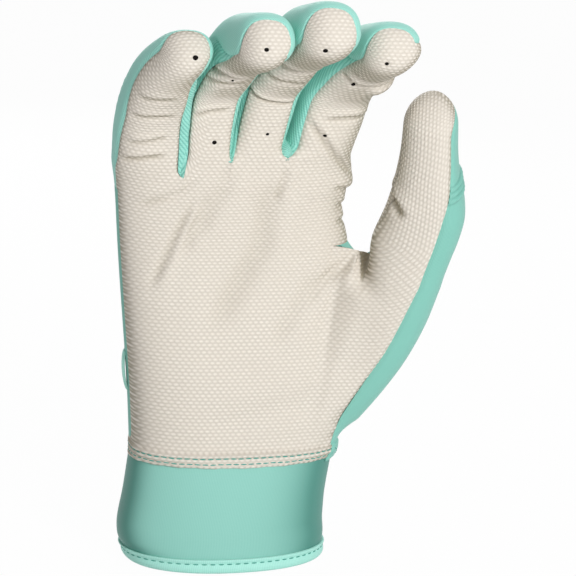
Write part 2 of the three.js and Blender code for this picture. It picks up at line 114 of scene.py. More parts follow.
def onSpine(spine, station, across, back):
    lean = np.interp(station, spine["s"], spine["lean"])
    y = np.interp(station, spine["s"], spine["y"]) + back * np.cos(lean)
    z = np.interp(station, spine["s"], spine["z"]) + back * np.sin(lean)
    return np.stack(np.broadcast_arrays(across, y, z), -1)


def runOf(points):  # the length run along a row of points
    return np.concatenate([[0], np.cumsum(np.linalg.norm(np.diff(points, axis=0), axis=1))])


def runAcross(points):  # the length run along each row of a grid
    return np.linalg.norm(np.diff(points, axis=1, prepend=points[:, :1]), axis=-1).cumsum(1)


def runUp(points):  # the length run up each column of a grid
    return np.linalg.norm(np.diff(points, axis=0, prepend=points[:1]), axis=-1).cumsum(0)


def evenRow(points, count):  # a row of points, spread evenly along its own length
    run = runOf(points)
    at = np.linspace(0, run[-1], count)
    return np.stack([np.interp(at, run, points[:, k]) for k in range(points.shape[1])], -1)


def bell(away, width):  # 1 in the middle, falling off on both sides
    return np.exp(-((away / width) ** 2))


def outward(points):  # unit normals of a grid of points
    normal = np.cross(np.gradient(points, axis=1), np.gradient(points, axis=0))
    return normal / np.maximum(np.linalg.norm(normal, axis=-1, keepdims=True), 1e-9)


def outwardWithin(points, before, after):  # normals of a grid that runs on into its neighbours
    return outward(np.vstack([before, points, after]))[len(before):len(before) + len(points)]


def pushed(points, by):  # moves a grid of points outwards
    return points + outward(points) * np.asarray(by)[..., None]


def softMin(a, b, reach):
    h = np.clip(0.5 + 0.5 * (b - a) / reach, 0, 1)
    return mix(b, a, h) - reach * h * (1 - h)


def capClosing(t):  # rises to 1 where the leather goes all the way round a tip
    return 1 - np.sqrt(1 - np.clip(t, 0, 1) ** 2)


# folds: lines pressed into a sheet, each with a width, a depth, a raised lip beside it and an amount of
# painted shade along it
def fold(width, depth, lip, creaseShade, *line):
    return {"width": width, "depth": depth, "lip": lip, "creaseShade": creaseShade, "line": np.array(line, float)}


def foldPress(folds, x, s):
    press, creaseShade = np.zeros((2,) + np.broadcast(x, s).shape)
    ends = 0.25  # the share of a fold over which each end fades
    for one in folds:
        line, width = one["line"], one["width"]
        lengths = np.linalg.norm(np.diff(line, axis=0), axis=1)
        best = np.full(press.shape, 1e9)
        side, share = np.zeros((2,) + press.shape)
        for k, length in enumerate(lengths):
            d = (line[k + 1] - line[k]) / length
            px, ps = x - line[k, 0], s - line[k, 1]
            t = np.clip(px * d[0] + ps * d[1], 0, length)
            away = np.hypot(px - t * d[0], ps - t * d[1])
            near = away < best
            best = np.where(near, away, best)
            side = np.where(near, np.sign(px * -d[1] + ps * d[0]), side)
            share = np.where(near, (lengths[:k].sum() + t) / lengths.sum(), share)
        fade = smooth(share / ends) * smooth((1 - share) / ends)
        lip = one["lip"] * bell(best * side - 2 * width, 1.3 * width)
        press += fade * (lip - one["depth"] * bell(best, width))
        creaseShade += fade * one["creaseShade"] * bell(best, 0.8 * width)
    return press, np.clip(creaseShade, 0, 1)


def edgeRoll(points, sides, depth=0.55, reach=0.8):  # a sewn edge turns in
    across = runAcross(points)
    roll = np.zeros(points.shape[:2])
    if sides[0]:
        roll -= depth * bell(across, reach)
    if sides[1]:
        roll -= depth * bell(across[:, -1:] - across, reach)
    return roll


def tuck(s, reach=0.9, depth=0.1):  # the first rows of a length lie just under the piece below
    return -depth * (1 - smooth((s - s.min()) / reach))


# pieces from grids of points
def linkObject(name, mesh):
    made = bpy.data.objects.new(name, mesh)
    scene.collection.objects.link(made)
    return made


def sheetPiece(name, grids, grains, foldShades, material, wall):
    bm = bmesh.new()
    for level, points in enumerate(grids):
        rows, columns = points.shape[:2]
        lift = Matrix.Translation((0, 0, 10 * level))
        bmesh.ops.create_grid(bm, x_segments=columns - 1, y_segments=rows - 1, size=1, matrix=lift)
    mesh = bpy.data.meshes.new(name)
    bm.to_mesh(mesh)
    bm.free()
    flat = np.empty(len(mesh.vertices) * 3)
    mesh.vertices.foreach_get("co", flat)
    flat = flat.reshape(-1, 3)
    place = np.empty_like(flat)
    grain = np.empty_like(flat)
    foldShade = np.empty(len(flat))
    for level, points in enumerate(grids):
        here = np.round(flat[:, 2] / 10) == level
        share = (flat[here, :2] - flat[here, :2].min(0)) / np.ptp(flat[here, :2], axis=0)
        c = np.round(share[:, 0] * (points.shape[1] - 1)).astype(int)
        r = np.round(share[:, 1] * (points.shape[0] - 1)).astype(int)
        place[here] = points[r, c] * mm
        grain[here] = grains[level][r, c]
        foldShade[here] = foldShades[level][r, c]
    mesh.vertices.foreach_set("co", place.ravel())
    mesh.attributes.new("grain", "FLOAT_VECTOR", "POINT").data.foreach_set("vector", grain.ravel())
    mesh.attributes.new("foldShade", "FLOAT", "POINT").data.foreach_set("value", foldShade)
    bm = bmesh.new()
    bm.from_mesh(mesh)
    bmesh.ops.remove_doubles(bm, verts=bm.verts, dist=0.004 * mm)
    for edge in bm.edges:
        edge.smooth = not edge.is_boundary
    bm.to_mesh(mesh)
    bm.free()
    mesh.polygons.foreach_set("use_smooth", np.ones(len(mesh.polygons), bool))
    mesh.materials.append(material)
    made = linkObject(name, mesh)
    if wall:
        shell = made.modifiers.new("wall", "SOLIDIFY")
        shell.thickness = wall * mm
        shell.offset = -1
    return made


def beadPiece(name, beads, segments, material):  # a piece made of small ovals: place, turn and half sizes
    bm = bmesh.new()
    for place, turn, size in beads:
        shape = Matrix.Translation(Vector(place) * mm) @ turn @ Matrix.Diagonal((*size, 1))
        bmesh.ops.create_uvsphere(bm, u_segments=segments[0], v_segments=segments[1], radius=mm, matrix=shape)
    mesh = bpy.data.meshes.new(name)
    bm.to_mesh(mesh)
    bm.free()
    mesh.shade_smooth()
    mesh.materials.append(material)
    return linkObject(name, mesh)


def grainOf(points):  # plain grain: distance across, distance up
    across, up = runAcross(points), runUp(points)
    return np.stack([across - across.mean(1, keepdims=True), up, np.zeros_like(up)], -1)


def finishPiece(made, slot, *nodes):
    if nodes:
        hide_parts(*nodes)
    return made


def plainPiece(name, points, material, slot, nodes, wall, body="hand"):  # a sheet that rides on one body
    made = sheetPiece(name, [points], [grainOf(points)], [np.zeros(points.shape[:2])], material, wall)
    finishPiece(made, slot, *nodes)
    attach(made, body)


# node helpers
def linear(code):  # a written colour as linear light
    parts = [int(code[i:i + 2], 16) / 255 for i in (1, 3, 5)]
    return [p / 12.92 if p <= 0.04045 else ((p + 0.055) / 1.055) ** 2.4 for p in parts] + [1]


def step(tree, operation, *values):  # one Math node
    node = tree.nodes.new("ShaderNodeMath")
    node.operation = operation
    for socket, value in zip(node.inputs, values):
        if isinstance(value, (int, float)):
            socket.default_value = value
        else:
            tree.links.new(value, socket)
    return node.outputs[0]


def ramp(tree, value, low, high):  # 0 at low, 1 at high, eased
    node = tree.nodes.new("ShaderNodeMapRange")
    node.interpolation_type = "SMOOTHSTEP"
    tree.links.new(value, node.inputs["Value"])
    node.inputs["From Min"].default_value = low
    node.inputs["From Max"].default_value = high
    return node.outputs["Result"]


def blendColor(tree, factor, first, second):
    node = tree.nodes.new("ShaderNodeMix")
    node.data_type = "RGBA"
    for socket, value in zip((node.inputs[0], node.inputs[6], node.inputs[7]), (factor, first, second)):
        if isinstance(value, (int, float, list)):
            socket.default_value = value
        else:
            tree.links.new(value, socket)
    return node.outputs[2]


def noise(tree, vector, scale, detail):
    node = tree.nodes.new("ShaderNodeTexNoise")
    node.inputs["Scale"].default_value = scale
    node.inputs["Detail"].default_value = detail
    tree.links.new(vector, node.inputs["Vector"])
    return node.outputs["Fac"]


def newGroup(name, measures):  # a node group that turns the grain and some measures into a height
    group = bpy.data.node_groups.new(name, "ShaderNodeTree")
    group.interface.new_socket(name="Grain", in_out="INPUT", socket_type="NodeSocketVector")
    for label in measures:
        group.interface.new_socket(name=label, in_out="INPUT", socket_type="NodeSocketFloat")
    group.interface.new_socket(name="Height", in_out="OUTPUT", socket_type="NodeSocketFloat")
    given = group.nodes.new("NodeGroupInput").outputs
    grain = group.nodes.new("ShaderNodeSeparateXYZ")
    group.links.new(given["Grain"], grain.inputs[0])
    return group, given, grain.outputs, group.nodes.new("NodeGroupOutput").inputs["Height"]


def ovalEmboss():  # staggered raised ovals in rows that may bend; the grain is along the row, row place, bend
    group, given, (run, rowPlace, bend), put = newGroup("ovalEmboss", ("Pitch", "Row", "Long", "Short"))
    pitch, rowPitch = given["Pitch"], given["Row"]
    square = lambda value: step(group, "MULTIPLY", value, value)
    row = step(group, "ROUND", step(group, "DIVIDE", rowPlace, rowPitch))
    middle = step(group, "MULTIPLY", row, rowPitch)
    place = step(group, "SUBTRACT", run, step(group, "MULTIPLY", bend, middle))
    stagger = step(group, "MULTIPLY", step(group, "PINGPONG", row, 1.0), 0.5)
    cell = step(group, "ADD", step(group, "DIVIDE", place, pitch), stagger)
    number = step(group, "ROUND", cell)
    across = step(group, "MULTIPLY", step(group, "SUBTRACT", cell, number), pitch)
    a = step(group, "DIVIDE", across, given["Long"])
    b = step(group, "DIVIDE", step(group, "SUBTRACT", rowPlace, middle), given["Short"])
    away = step(group, "SQRT", step(group, "ADD", square(a), square(b)))
    height = step(group, "SUBTRACT", 1.0, ramp(group, away, 0.2, 1.3))
    pair = group.nodes.new("ShaderNodeCombineXYZ")
    group.links.new(number, pair.inputs[0])
    group.links.new(row, pair.inputs[1])
    chance = group.nodes.new("ShaderNodeTexWhiteNoise")
    chance.noise_dimensions = "2D"
    group.links.new(pair.outputs[0], chance.inputs["Vector"])
    uneven = step(group, "ADD", step(group, "MULTIPLY", chance.outputs["Value"], 0.3), 0.7)
    group.links.new(step(group, "MULTIPLY", height, uneven), put)
    return group


def knitRibs():  # slanting ribs of looped yarn
    group, given, (across, up, _), put = newGroup("knitRibs", ("Pitch", "Slant", "Loop"))

    def wave(value, pitch):
        turn = step(group, "DIVIDE", step(group, "MULTIPLY", value, math.pi), pitch)
        return step(group, "ABSOLUTE", step(group, "SINE", turn))

    slanted = step(group, "ADD", across, step(group, "MULTIPLY", up, given["Slant"]))
    rib, loop = wave(slanted, given["Pitch"]), wave(up, given["Loop"])
    body = step(group, "ADD", step(group, "MULTIPLY", rib, 0.75), step(group, "MULTIPLY", loop, 0.25))
    group.links.new(body, put)
    return group


embossGroup = ovalEmboss()
ribGroup = knitRibs()


def newMaterial(name, roughness, specular, sheen=0.0):
    material = bpy.data.materials.new(name)
    material.use_nodes = True
    tree = material.node_tree
    shader = tree.nodes["Principled BSDF"]
    shader.inputs["Roughness"].default_value = roughness
    shader.inputs["Specular IOR Level"].default_value = specular
    shader.inputs["Sheen Weight"].default_value = sheen
    shader.inputs["Sheen Roughness"].default_value = 0.4
    place = tree.nodes.new("ShaderNodeTexCoord").outputs["Object"]
    return material, tree, shader, place


def mark(tree, name, output="Vector"):  # a value carried by the mesh itself
    node = tree.nodes.new("ShaderNodeAttribute")
    node.attribute_name = name
    return node.outputs[output]


def placeGroup(tree, group, measures):
    node = tree.nodes.new("ShaderNodeGroup")
    node.node_tree = group
    tree.links.new(mark(tree, "grain"), node.inputs["Grain"])
    for label, value in measures.items():
        node.inputs[label].default_value = value
    return node.outputs["Height"]


def clouded(tree, place, scale, tone, other, share):  # lets a second tone drift through the first
    cloud = ramp(tree, noise(tree, place, scale, 3), 0.3, 0.7)
    return blendColor(tree, step(tree, "MULTIPLY", cloud, share), tone, linear(other))


def paintFoldShade(tree, tone, other, share):  # paints shade into folds, seams and grooves, darkening them by the mesh's shade mark
    amount = step(tree, "MULTIPLY", mark(tree, "foldShade", "Fac"), share)
    return blendColor(tree, amount, tone, linear(other))


def addBump(tree, shader, height, strength, distance):
    bump = tree.nodes.new("ShaderNodeBump")
    bump.inputs["Strength"].default_value = strength
    bump.inputs["Distance"].default_value = distance * mm
    tree.links.new(height, bump.inputs["Height"])
    tree.links.new(bump.outputs[0], shader.inputs["Normal"])


def turnedAway(tree, low, high):  # 0 where a surface faces the eye, 1 where it turns away; the mask for painted shade
    return ramp(tree, tree.nodes.new("ShaderNodeLayerWeight").outputs["Facing"], low, high)


# leather colours: the oval tops; painted shade in the valleys between the ovals; painted shade for the folds
# (fold) and for surfaces turning away from the eye (edge); a tone that drifts at random (cloud)
leatherFinish = {
    "valleyShade": "#d2cabe", "top": "#ede6dc", "fold": "#958b73", "edge": "#8f866f", "cloud": "#d9cfc2",
    "emboss": {"Pitch": 2.2, "Row": 1.34, "Long": 0.98, "Short": 0.56}, "relief": 0.22,
}


def leatherMaterial(spec):
    material, tree, shader, place = newMaterial("embossedLeather", 0.56, 0.35)
    oval = placeGroup(tree, embossGroup, spec["emboss"])
    # painted shade: the valleys darken towards the edge colour where the surface turns away from the eye
    low = blendColor(tree, turnedAway(tree, 0.2, 0.8), linear(spec["valleyShade"]), linear(spec["edge"]))
    tone = blendColor(tree, oval, low, linear(spec["top"]))
    tone = clouded(tree, place, 45, tone, spec["cloud"], 0.12)
    # painted shade in the folds and the dart, from the mesh's shade mark
    tree.links.new(paintFoldShade(tree, tone, spec["fold"], 0.8), shader.inputs["Base Color"])
    pores = step(tree, "MULTIPLY", noise(tree, place, 2600, 2), 0.12)
    addBump(tree, shader, step(tree, "ADD", oval, pores), 1.0, spec["relief"])
    return material


def clothMaterial(name, deep, light, roughness, ribs, relief, edge=None):  # ribs: pitch, slant, loop
    material, tree, shader, place = newMaterial(name, roughness, 0.3, sheen=0.15)
    rib = placeGroup(tree, ribGroup, dict(zip(("Pitch", "Slant", "Loop"), ribs)))
    tone = clouded(tree, place, 60, blendColor(tree, rib, linear(deep), linear(light)), deep, 0.1)
    # painted shade in sunk seams and in the grooves between ribs
    tone = paintFoldShade(tree, tone, "#3f7f74", 0.6)
    # painted shade: where the surface turns away from the eye the cloth darkens towards the edge colour
    if edge:
        tone = blendColor(tree, turnedAway(tree, 0.06, 0.46), tone, linear(edge))
    tree.links.new(tone, shader.inputs["Base Color"])
    fuzz = step(tree, "MULTIPLY", noise(tree, place, 3000, 2), 0.25)
    addBump(tree, shader, step(tree, "ADD", rib, fuzz), 0.8, relief)
    return material


def plainMaterial(name, colour, other, roughness, scale, relief, specular=0.3, sheen=0.0):
    material, tree, shader, place = newMaterial(name, roughness, specular, sheen=sheen)
    speck = ramp(tree, noise(tree, place, scale, 3), 0.3, 0.7)
    tree.links.new(blendColor(tree, speck, linear(colour), linear(other)), shader.inputs["Base Color"])
    addBump(tree, shader, speck, 0.6, relief)
    return material


leather = leatherMaterial(leatherFinish)
backCloth = clothMaterial("stretchBack", "#73b7a9", "#8bc9bb", 0.55, (0.55, 0.0, 0.5), 0.05)
fingerCloth = clothMaterial("fingerBack", "#84cdbf", "#abe7da", 0.6, (0.95, 0.6, 0.8), 0.1)
sideKnit = clothMaterial("ribbedKnit", "#6cbcad", "#a3e4d6", 0.75, (1.25, 0.55, 0.9), 0.25)
# the cuff's edge colour is painted shade on its sides, where they turn away
cuffSatin = clothMaterial("cuffSatin", "#86c6b9", "#96d0c4", 0.5, (0.6, 0.0, 0.5), 0.03, "#4c8d81")
bindingTape = clothMaterial("bindingTape", "#9de0d2", "#b8eee2", 0.6, (0.7, 0.0, 0.45), 0.06)
tealThread = plainMaterial("tealThread", "#3f9486", "#57ab9d", 0.6, 4000, 0.05)
# near-black: painted shade standing in for the shadowed inside seen through the vent holes
ventHoleShade = plainMaterial("ventHoleShade", "#0d0b0a", "#1a1614", 0.9, 3000, 0.02, specular=0.1)
pileCloth = plainMaterial("hookAndLoopPile", "#86b3aa", "#a9cfc7", 0.95, 2200, 0.4, specular=0.1, sheen=0.3)
print("materials made")


def capGrain(points, centre, ahead, back, radius, run, row):  # carries the grain straight over a round tip
    side = np.cross(back, ahead)
    x, n, a = ((points - centre) @ way for way in (side, back, ahead))
    over = smooth(a / 7)
    rise = radius * np.arctan2(np.maximum(a, 0), np.maximum(-n, 0) + np.where(n > 0, 0, 0.01))
    rise = np.where(n > 0, radius * (math.pi / 2 + np.arctan2(n, np.maximum(a, 0.01))), rise)
    wide = radius * np.arcsin(np.clip(x / radius, -1, 1))
    return mix(run, wide, over), np.where(a > 0, mix(row, rise, over), row)


def fromNose(points, x):  # distance across, from the line along the front
    rows, middle = [], 0.0
    for side, run in zip(x, grainOf(points)[..., 0]):
        before = np.flatnonzero(side < -0.05)
        if len(before):
            middle = run[before[-1]] - side[before[-1]]
        rows.append(run - middle)
    return np.stack(rows)


# palm: the same lengths as the solids; seams are in degrees, the rest in millimetres
palm = {
    "length": 117.0, "cuffTop": 42.0, "squareness": 2.7, "bend": (92, 70, 20),
    "left": [(0, -36.6), (25, -38.8), (62, -43), (96, -47), (108, -48.8), (117, -50.4)],
    "right": [(0, 42), (30, 42.5), (70, 41.6), (81, 42.4), (92, 39.2), (99, 39), (106, 41.2), (112, 39.6),
              (117, 38.6)],
    "front": [(0, 22), (30, 21), (70, 17), (117, 13)],
    "back": [(0, 22), (30, 18.5), (70, 14.5), (117, 12.4)],
    "leftSeam": [(0, 178), (60, 180), (104, 182), (117, 188)], "seamFoot": 321.5,
    "crotchMiddle": ((41.5, -11.8, 120.5), (42, -1, 117)),  # the crotch's edge in front and behind
    "rootDrop": 6, "dropAt": -27.4, "dropOver": 10,
    "top": 107.0, "crotch": 81.0, "splitLow": 22.0, "splitHigh": 33.5, "fingerSide": 382.0,
    "grid": 0.62, "mainWide": 74, "sideWide": 26, "wall": 1.2,
    "hollow": {"depth": 2.2, "x": -2, "s": 58, "wide": 22, "high": 32},
}
palmSpine = makeSpine(0, palm["cuffTop"], 0, [palm["bend"]], -12, 150)
grainCentre = (44.0, 86.0)  # the grain's rows bend round this point between palm and thumb


def rootDrop(x):
    return palm["rootDrop"] * smooth((palm["dropAt"] - x) / palm["dropOver"] + 0.75)


def palmSection(s, turn):
    left, right = along(palm["left"], s), along(palm["right"], s)
    thick = np.where(np.sin(np.radians(turn)) > 0, along(palm["back"], s), along(palm["front"], s))
    x, back = onOval(turn, (right - left) / 2, thick, palm["squareness"])
    return x + (left + right) / 2, back


def palmPlace(s, x, back):
    return onSpine(palmSpine, s * (1 - rootDrop(x) / palm["length"]), x, back)


def palmTurn(s, x, front=True):  # the turn at which the palm's oval passes x
    left, right = along(palm["left"], s), along(palm["right"], s)
    share = np.clip((x - (left + right) / 2) / ((right - left) / 2), -1, 1)
    turn = np.degrees(np.arccos(np.sign(share) * np.abs(share) ** (palm["squareness"] / 2)))
    return 360 - turn if front else turn


def palmSurface(s, turn):
    x, back = palmSection(s, turn)
    return palmPlace(s, x, back)


# thumb: the same curve as the solids, by the share of its length; seams are in degrees before the outer side
thumb = {
    "path": [(22, 2, 46), (41, -5, 74), (56, -14, 103), (63, -22, 130), (62.5, -30, 155), (58.5, -38, 181)],
    "half": [(0, 13), (0.3, 18), (0.52, 17.5), (0.7, 14), (0.84, 11.6), (1, 10)],
    "depth": [(0, 13), (0.4, 13.5), (0.7, 12.4), (1, 9.8)],
    "back": (0.42, 0.91, 0.0), "squareness": 2.4, "tipLift": 0.55, "tipRadius": 11.0,
    "seam": [(0, 40), (0.1, 47), (0.2, 56), (0.3, 60.5), (0.5, 61.5), (0.6, 63.5), (0.7, 63.5), (0.75, 55.5),
             (0.8, 44.5), (0.85, 39.5), (0.93, 41), (1, 41)],
    "innerSeam": [(0.5, 192), (0.53, 176), (0.56, 160), (0.64, 158), (0.93, 165)],
    "waist": [(0.5, 0.66), (0.53, 0.74), (0.56, 0.85), (0.6, 0.94), (0.7, 0.97), (1, 1)],  # inner side
    "outer": [(0, 1.45), (0.1, 1.36), (0.15, 1.22), (0.25, 1.13), (0.35, 1.06), (0.45, 1), (0.55, 0.92),
              (0.6, 0.95), (0.66, 1.06), (0.7, 1.12), (0.75, 1.07), (0.8, 0.94), (0.86, 0.86), (0.93, 0.87),
              (1, 0.88)],  # outer side
    "start": 0.53, "split": 0.665, "grid": 0.42, "wall": 1.1, "capFrom": 13, "capTo": 2.5,
}


def curveThrough(points):  # a smooth curve through points, tabled by its length
    p = np.array(points, float)
    p = np.vstack([2 * p[0] - p[1], p, 2 * p[-1] - p[-2]])
    t = np.linspace(0, 1, 80)[:, None]
    rows = []
    for i in range(1, len(p) - 2):
        d0, d1, d2 = (np.linalg.norm(p[k + 1] - p[k]) ** 0.5 for k in (i - 1, i, i + 1))
        t1 = ((p[i] - p[i - 1]) / d0 - (p[i + 1] - p[i - 1]) / (d0 + d1) + (p[i + 1] - p[i]) / d1) * d1
        t2 = ((p[i + 1] - p[i]) / d1 - (p[i + 2] - p[i]) / (d1 + d2) + (p[i + 2] - p[i + 1]) / d2) * d1
        c2 = -3 * p[i] + 3 * p[i + 1] - 2 * t1 - t2
        c3 = 2 * p[i] - 2 * p[i + 1] + t1 + t2
        rows.append(p[i] + t1 * t + c2 * t**2 + c3 * t**3)
    line = np.vstack([rows[0]] + [r[1:] for r in rows[1:]])
    return evenRow(line, 600)


thumbLine = curveThrough(thumb["path"])
thumbLength = np.linalg.norm(np.diff(thumbLine, axis=0), axis=1).sum()
thumbAhead = np.gradient(thumbLine, axis=0)
thumbAhead /= np.linalg.norm(thumbAhead, axis=1, keepdims=True)


def fromTable(table, share):
    at = np.linspace(0, 1, len(table))
    return np.stack([np.interp(share, at, table[:, k]) for k in range(3)], -1)


def thumbFrame(share):
    ahead = fromTable(thumbAhead, share)
    back = np.array(thumb["back"]) - ahead * (ahead @ np.array(thumb["back"]))[..., None]
    back /= np.linalg.norm(back, axis=-1, keepdims=True)
    return fromTable(thumbLine, share), np.cross(back, ahead), back


def thumbSurface(share, turn):
    share, turn = np.broadcast_arrays(share, turn)
    half, thick = along(thumb["half"], share), along(thumb["depth"], share)
    past = np.clip((share * thumbLength - thumbLength + half) / half, 0, 1)
    dome = np.sqrt(1 - past**2)
    centre, side, back = thumbFrame(share)
    x, n = onOval(turn, half * dome, thick * dome, thumb["squareness"])
    x = x * np.where(x < 0, along(thumb["waist"], share), along(thumb["outer"], share))
    return centre + side * x[..., None] + back * (n + (1 - dome) * thumb["tipLift"] * thick)[..., None]


def thumbHeight(x, z):  # how far forward the thumb's root stands at a place
    shares = np.linspace(0.02, 0.75, 240)
    centre, side, back = thumbFrame(shares)
    depth = along(thumb["depth"], shares)
    nose = centre - back * depth[:, None]  # the line along the thumb's front
    flat = np.stack([x, z], -1).reshape(-1, 2)
    y = np.empty(len(flat))
    for first in range(0, len(flat), 4000):
        part = flat[first:first + 4000]
        gap = (part[:, None, 0] - nose[None, :, 0]) ** 2 + (part[:, None, 1] - nose[None, :, 2]) ** 2
        k = gap.argmin(1)
        level = np.hypot(side[k, 0], side[k, 2])
        offset = ((part[:, 0] - nose[k, 0]) * side[k, 0] + (part[:, 1] - nose[k, 2]) * side[k, 2]) / level**2
        share = np.abs(offset) / along(thumb["half"], shares)[k]
        body = np.maximum(1 - share**thumb["squareness"], 0) ** (1 / thumb["squareness"])
        rise = depth[k] * body - 60 * np.maximum(share - 0.97, 0)
        y[first:first + 4000] = centre[k, 1] + offset * side[k, 1] - back[k, 1] * rise
    return y.reshape(np.shape(x))


def grainField(x, s):
    dx, ds = x - grainCentre[0], s - grainCentre[1]
    onThumb = (dx > 0) & (ds > 0)
    turning = (dx > 0) & (ds <= 0)
    run = np.where(onThumb, ds, np.where(turning, 0, dx))
    row = np.where(onThumb, -dx, np.where(turning, -np.hypot(dx, ds), ds))
    bend = np.where(onThumb, math.pi / 2, np.where(turning, np.arctan2(dx, -ds), 0))
    return np.stack([run, row, bend], -1)


palmFolds = [
    fold(1.7, 1.1, 0.7, 0.22, (-22, 105), (-25, 98), (-28, 92), (-31.3, 82.5), (-35.8, 70), (-37, 66)),
    fold(4.4, 1.6, 0.8, 0.16, (11.5, 114), (6.1, 105.5), (4.5, 95.5), (4.1, 82), (-3.9, 67), (-11.4, 53),
         (-15, 44)),
    fold(3.4, 1.0, 0.5, 0.1, (30, 72), (24.5, 66), (19.1, 57), (13, 48.5), (10, 42)),
    fold(2.8, 0.9, 0.4, 0.12, (-17, 106), (-18.8, 100), (-23.3, 86), (-26.1, 78.5)),
    fold(3.2, 1.0, 0.4, 0.12, (-9.5, 116), (-12.7, 106), (-17.8, 91.5), (-20, 84)),
    fold(2.0, 1.0, 0.6, 0.1, (43, 77), (35.4, 71.5), (28.5, 66), (23.6, 56.5)),
    fold(5.0, 0.9, 0.3, 0, (-16, 12), (-5.7, 15), (21.4, 21), (41.4, 27)),
    fold(1.6, 0.6, 0.3, 0.25, (-44, 102), (-40.6, 103.5), (-31, 108), (-21, 111)),
    fold(1.3, 0.9, 0.4, 0.25, (11.5, 116), (10.5, 110), (7.5, 100)),
    fold(1.2, 0.8, 0.4, 0.25, (31, 106), (36, 103.5), (44, 101)),
    fold(1.0, 0.6, 0.4, 0.25, (33, 98), (37, 96.5), (44, 95)),
    fold(1.0, 0.6, 0.4, 0.25, (34, 91), (38, 90), (44, 89)),
]


def splitAt(s):  # where the thumb's mound leaves the palm
    return mix(palm["splitLow"], palm["splitHigh"], smooth(s / palm["crotch"]))


def relaxPalm(x, s):  # the hollow of the hand
    hollow = palm["hollow"]
    return hollow["depth"] * bell(x - hollow["x"], hollow["wide"]) * bell(s - hollow["s"], hollow["high"])


def thumbRow(share, front, count):  # one row of points round the thumb, from seam to seam
    closing = capClosing((thumb["capFrom"] - (1 - share) * thumbLength) / (thumb["capFrom"] - thumb["capTo"]))
    seam = mix(360 - along(thumb["seam"], share), 450, closing)
    inner = mix(along(thumb["innerSeam"], share), 90, closing)
    first, last = (inner, seam) if front else (seam, 360 + inner)
    return evenRow(thumbSurface(share, mix(first, last, np.linspace(0, 1, 200))), count)


def outerSeam(rise):  # the leather's edge beside the thumb's mound, from the cuff to the thumb's root
    share = np.linspace(0.1, thumb["start"], 60)
    line = thumbSurface(share, 360 - along(thumb["seam"], share))
    foot = palmSurface(np.array([0.0]), np.array([palm["seamFoot"]]))
    line = np.vstack([foot, line[line[:, 2] > 54]])
    return evenRow(curveThrough(line[[0, 3, 10, 20, 32, -1]]), rise)


def crotchLine(front):  # the crotch's edge, from the palm's own oval to the thumb's inner seam
    s = palm["crotch"]
    start = palmSurface(s, palmTurn(s, palm["splitHigh"], front))
    end = thumbSurface(thumb["start"], along(thumb["innerSeam"], thumb["start"]))
    return curveThrough([start, palm["crotchMiddle"][0 if front else 1], end])


def moundTop(front):  # where the mound ends: the crotch's edge, then the thumb's first row
    edge, foot = crotchLine(front), thumbRow(thumb["start"], front, 400)
    edge, foot = (evenRow(line, int(runOf(line)[-1] / palm["grid"])) for line in (edge, foot))
    return np.vstack([edge[:-1], foot] if front else [foot[:-1], edge[::-1]]), len(foot)


def moundGrid(s):  # leather between the palm's own oval and the seam beside the thumb
    inner = palmSurface(s, palmTurn(s, splitAt(s)))
    outer = outerSeam(len(s))
    top, _ = moundTop(True)
    c = (runOf(top) / runOf(top)[-1])[None, :]
    x = mix(inner[:, None, 0], outer[:, None, 0], c)
    z = mix(inner[:, None, 2], outer[:, None, 2], c)
    station = np.interp(z, palmSpine["z"], palmSpine["s"])
    left, right = along(palm["left"], station), along(palm["right"], station)
    right = right + np.maximum(9 * smooth(station / 25), outer[:, None, 0] + 3 - right) * smooth(c / 0.4)
    share = np.clip(np.abs(2 * x - left - right) / (right - left), 0, 0.999)
    own = -along(palm["front"], station) * (1 - share ** palm["squareness"]) ** (1 / palm["squareness"])
    own = own + np.interp(station, palmSpine["s"], palmSpine["y"])
    y = softMin(own, thumbHeight(x, z), 0.5 + 9 * smooth(c / 0.45))
    y += (inner[:, 1] - y[:, 0])[:, None] * (1 - smooth(c / 0.5))
    y += (outer[:, 1] - y[:, -1])[:, None] * smooth((c - 0.6) / 0.4)
    points = np.stack([x, y, z], -1)
    points += (top - points[-1]) * smooth((s - palm["crotch"] + 16) / 16)[:, None, None]
    station = np.interp(points[..., 2], palmSpine["z"], palmSpine["s"])
    return points, station + (s - station[:, 0])[:, None]


def bridge(start, startWay, end, endWay, count):  # a smooth line from one point and way to another
    t = np.linspace(0, 1, count)[:, None]
    reach = np.linalg.norm(end - start) / 3
    a, b = start + startWay * reach, end - endWay * reach
    return (1 - t) ** 3 * start + 3 * t * (1 - t) ** 2 * a + 3 * t**2 * (1 - t) * b + t**3 * end


def backMoundGrid(s):  # the same stretch behind: round the outer side and into the back of the hand
    outer = outerSeam(len(s))
    top, _ = moundTop(False)
    shares = np.linspace(0.05, thumb["start"], 120)
    heights = thumbSurface(shares, 360 - along(thumb["seam"], shares))[:, 2]
    fine = np.linspace(0, 1, 120)
    c = (runOf(top) / runOf(top)[-1])[:, None]
    lines = []
    for place, at in zip(outer, s):
        flat = palmSurface(at, mix(palm["seamFoot"], 360 + float(palmTurn(at, splitAt(at), False)), fine))
        share = np.interp(place[2], heights, shares)
        arc = thumbSurface(share, mix(360 - along(thumb["seam"], share), 440, fine))
        way = lambda d: d / np.linalg.norm(d)
        tail = bridge(arc[-1], way(arc[-1] - arc[-3]), flat[-1], way(flat[-1] - flat[-3]), 60)
        full = evenRow(np.vstack([arc, tail[1:]]), len(top))
        line = mix(evenRow(flat, len(top)), full, smooth((at - 2) / 18))
        lines.append(line + (place - line[0]) * (1 - smooth(c / 0.3)))
    points = np.stack(lines)
    return points + (top - points[-1]) * smooth((s / palm["crotch"] - 0.5) / 0.5)[:, None, None]


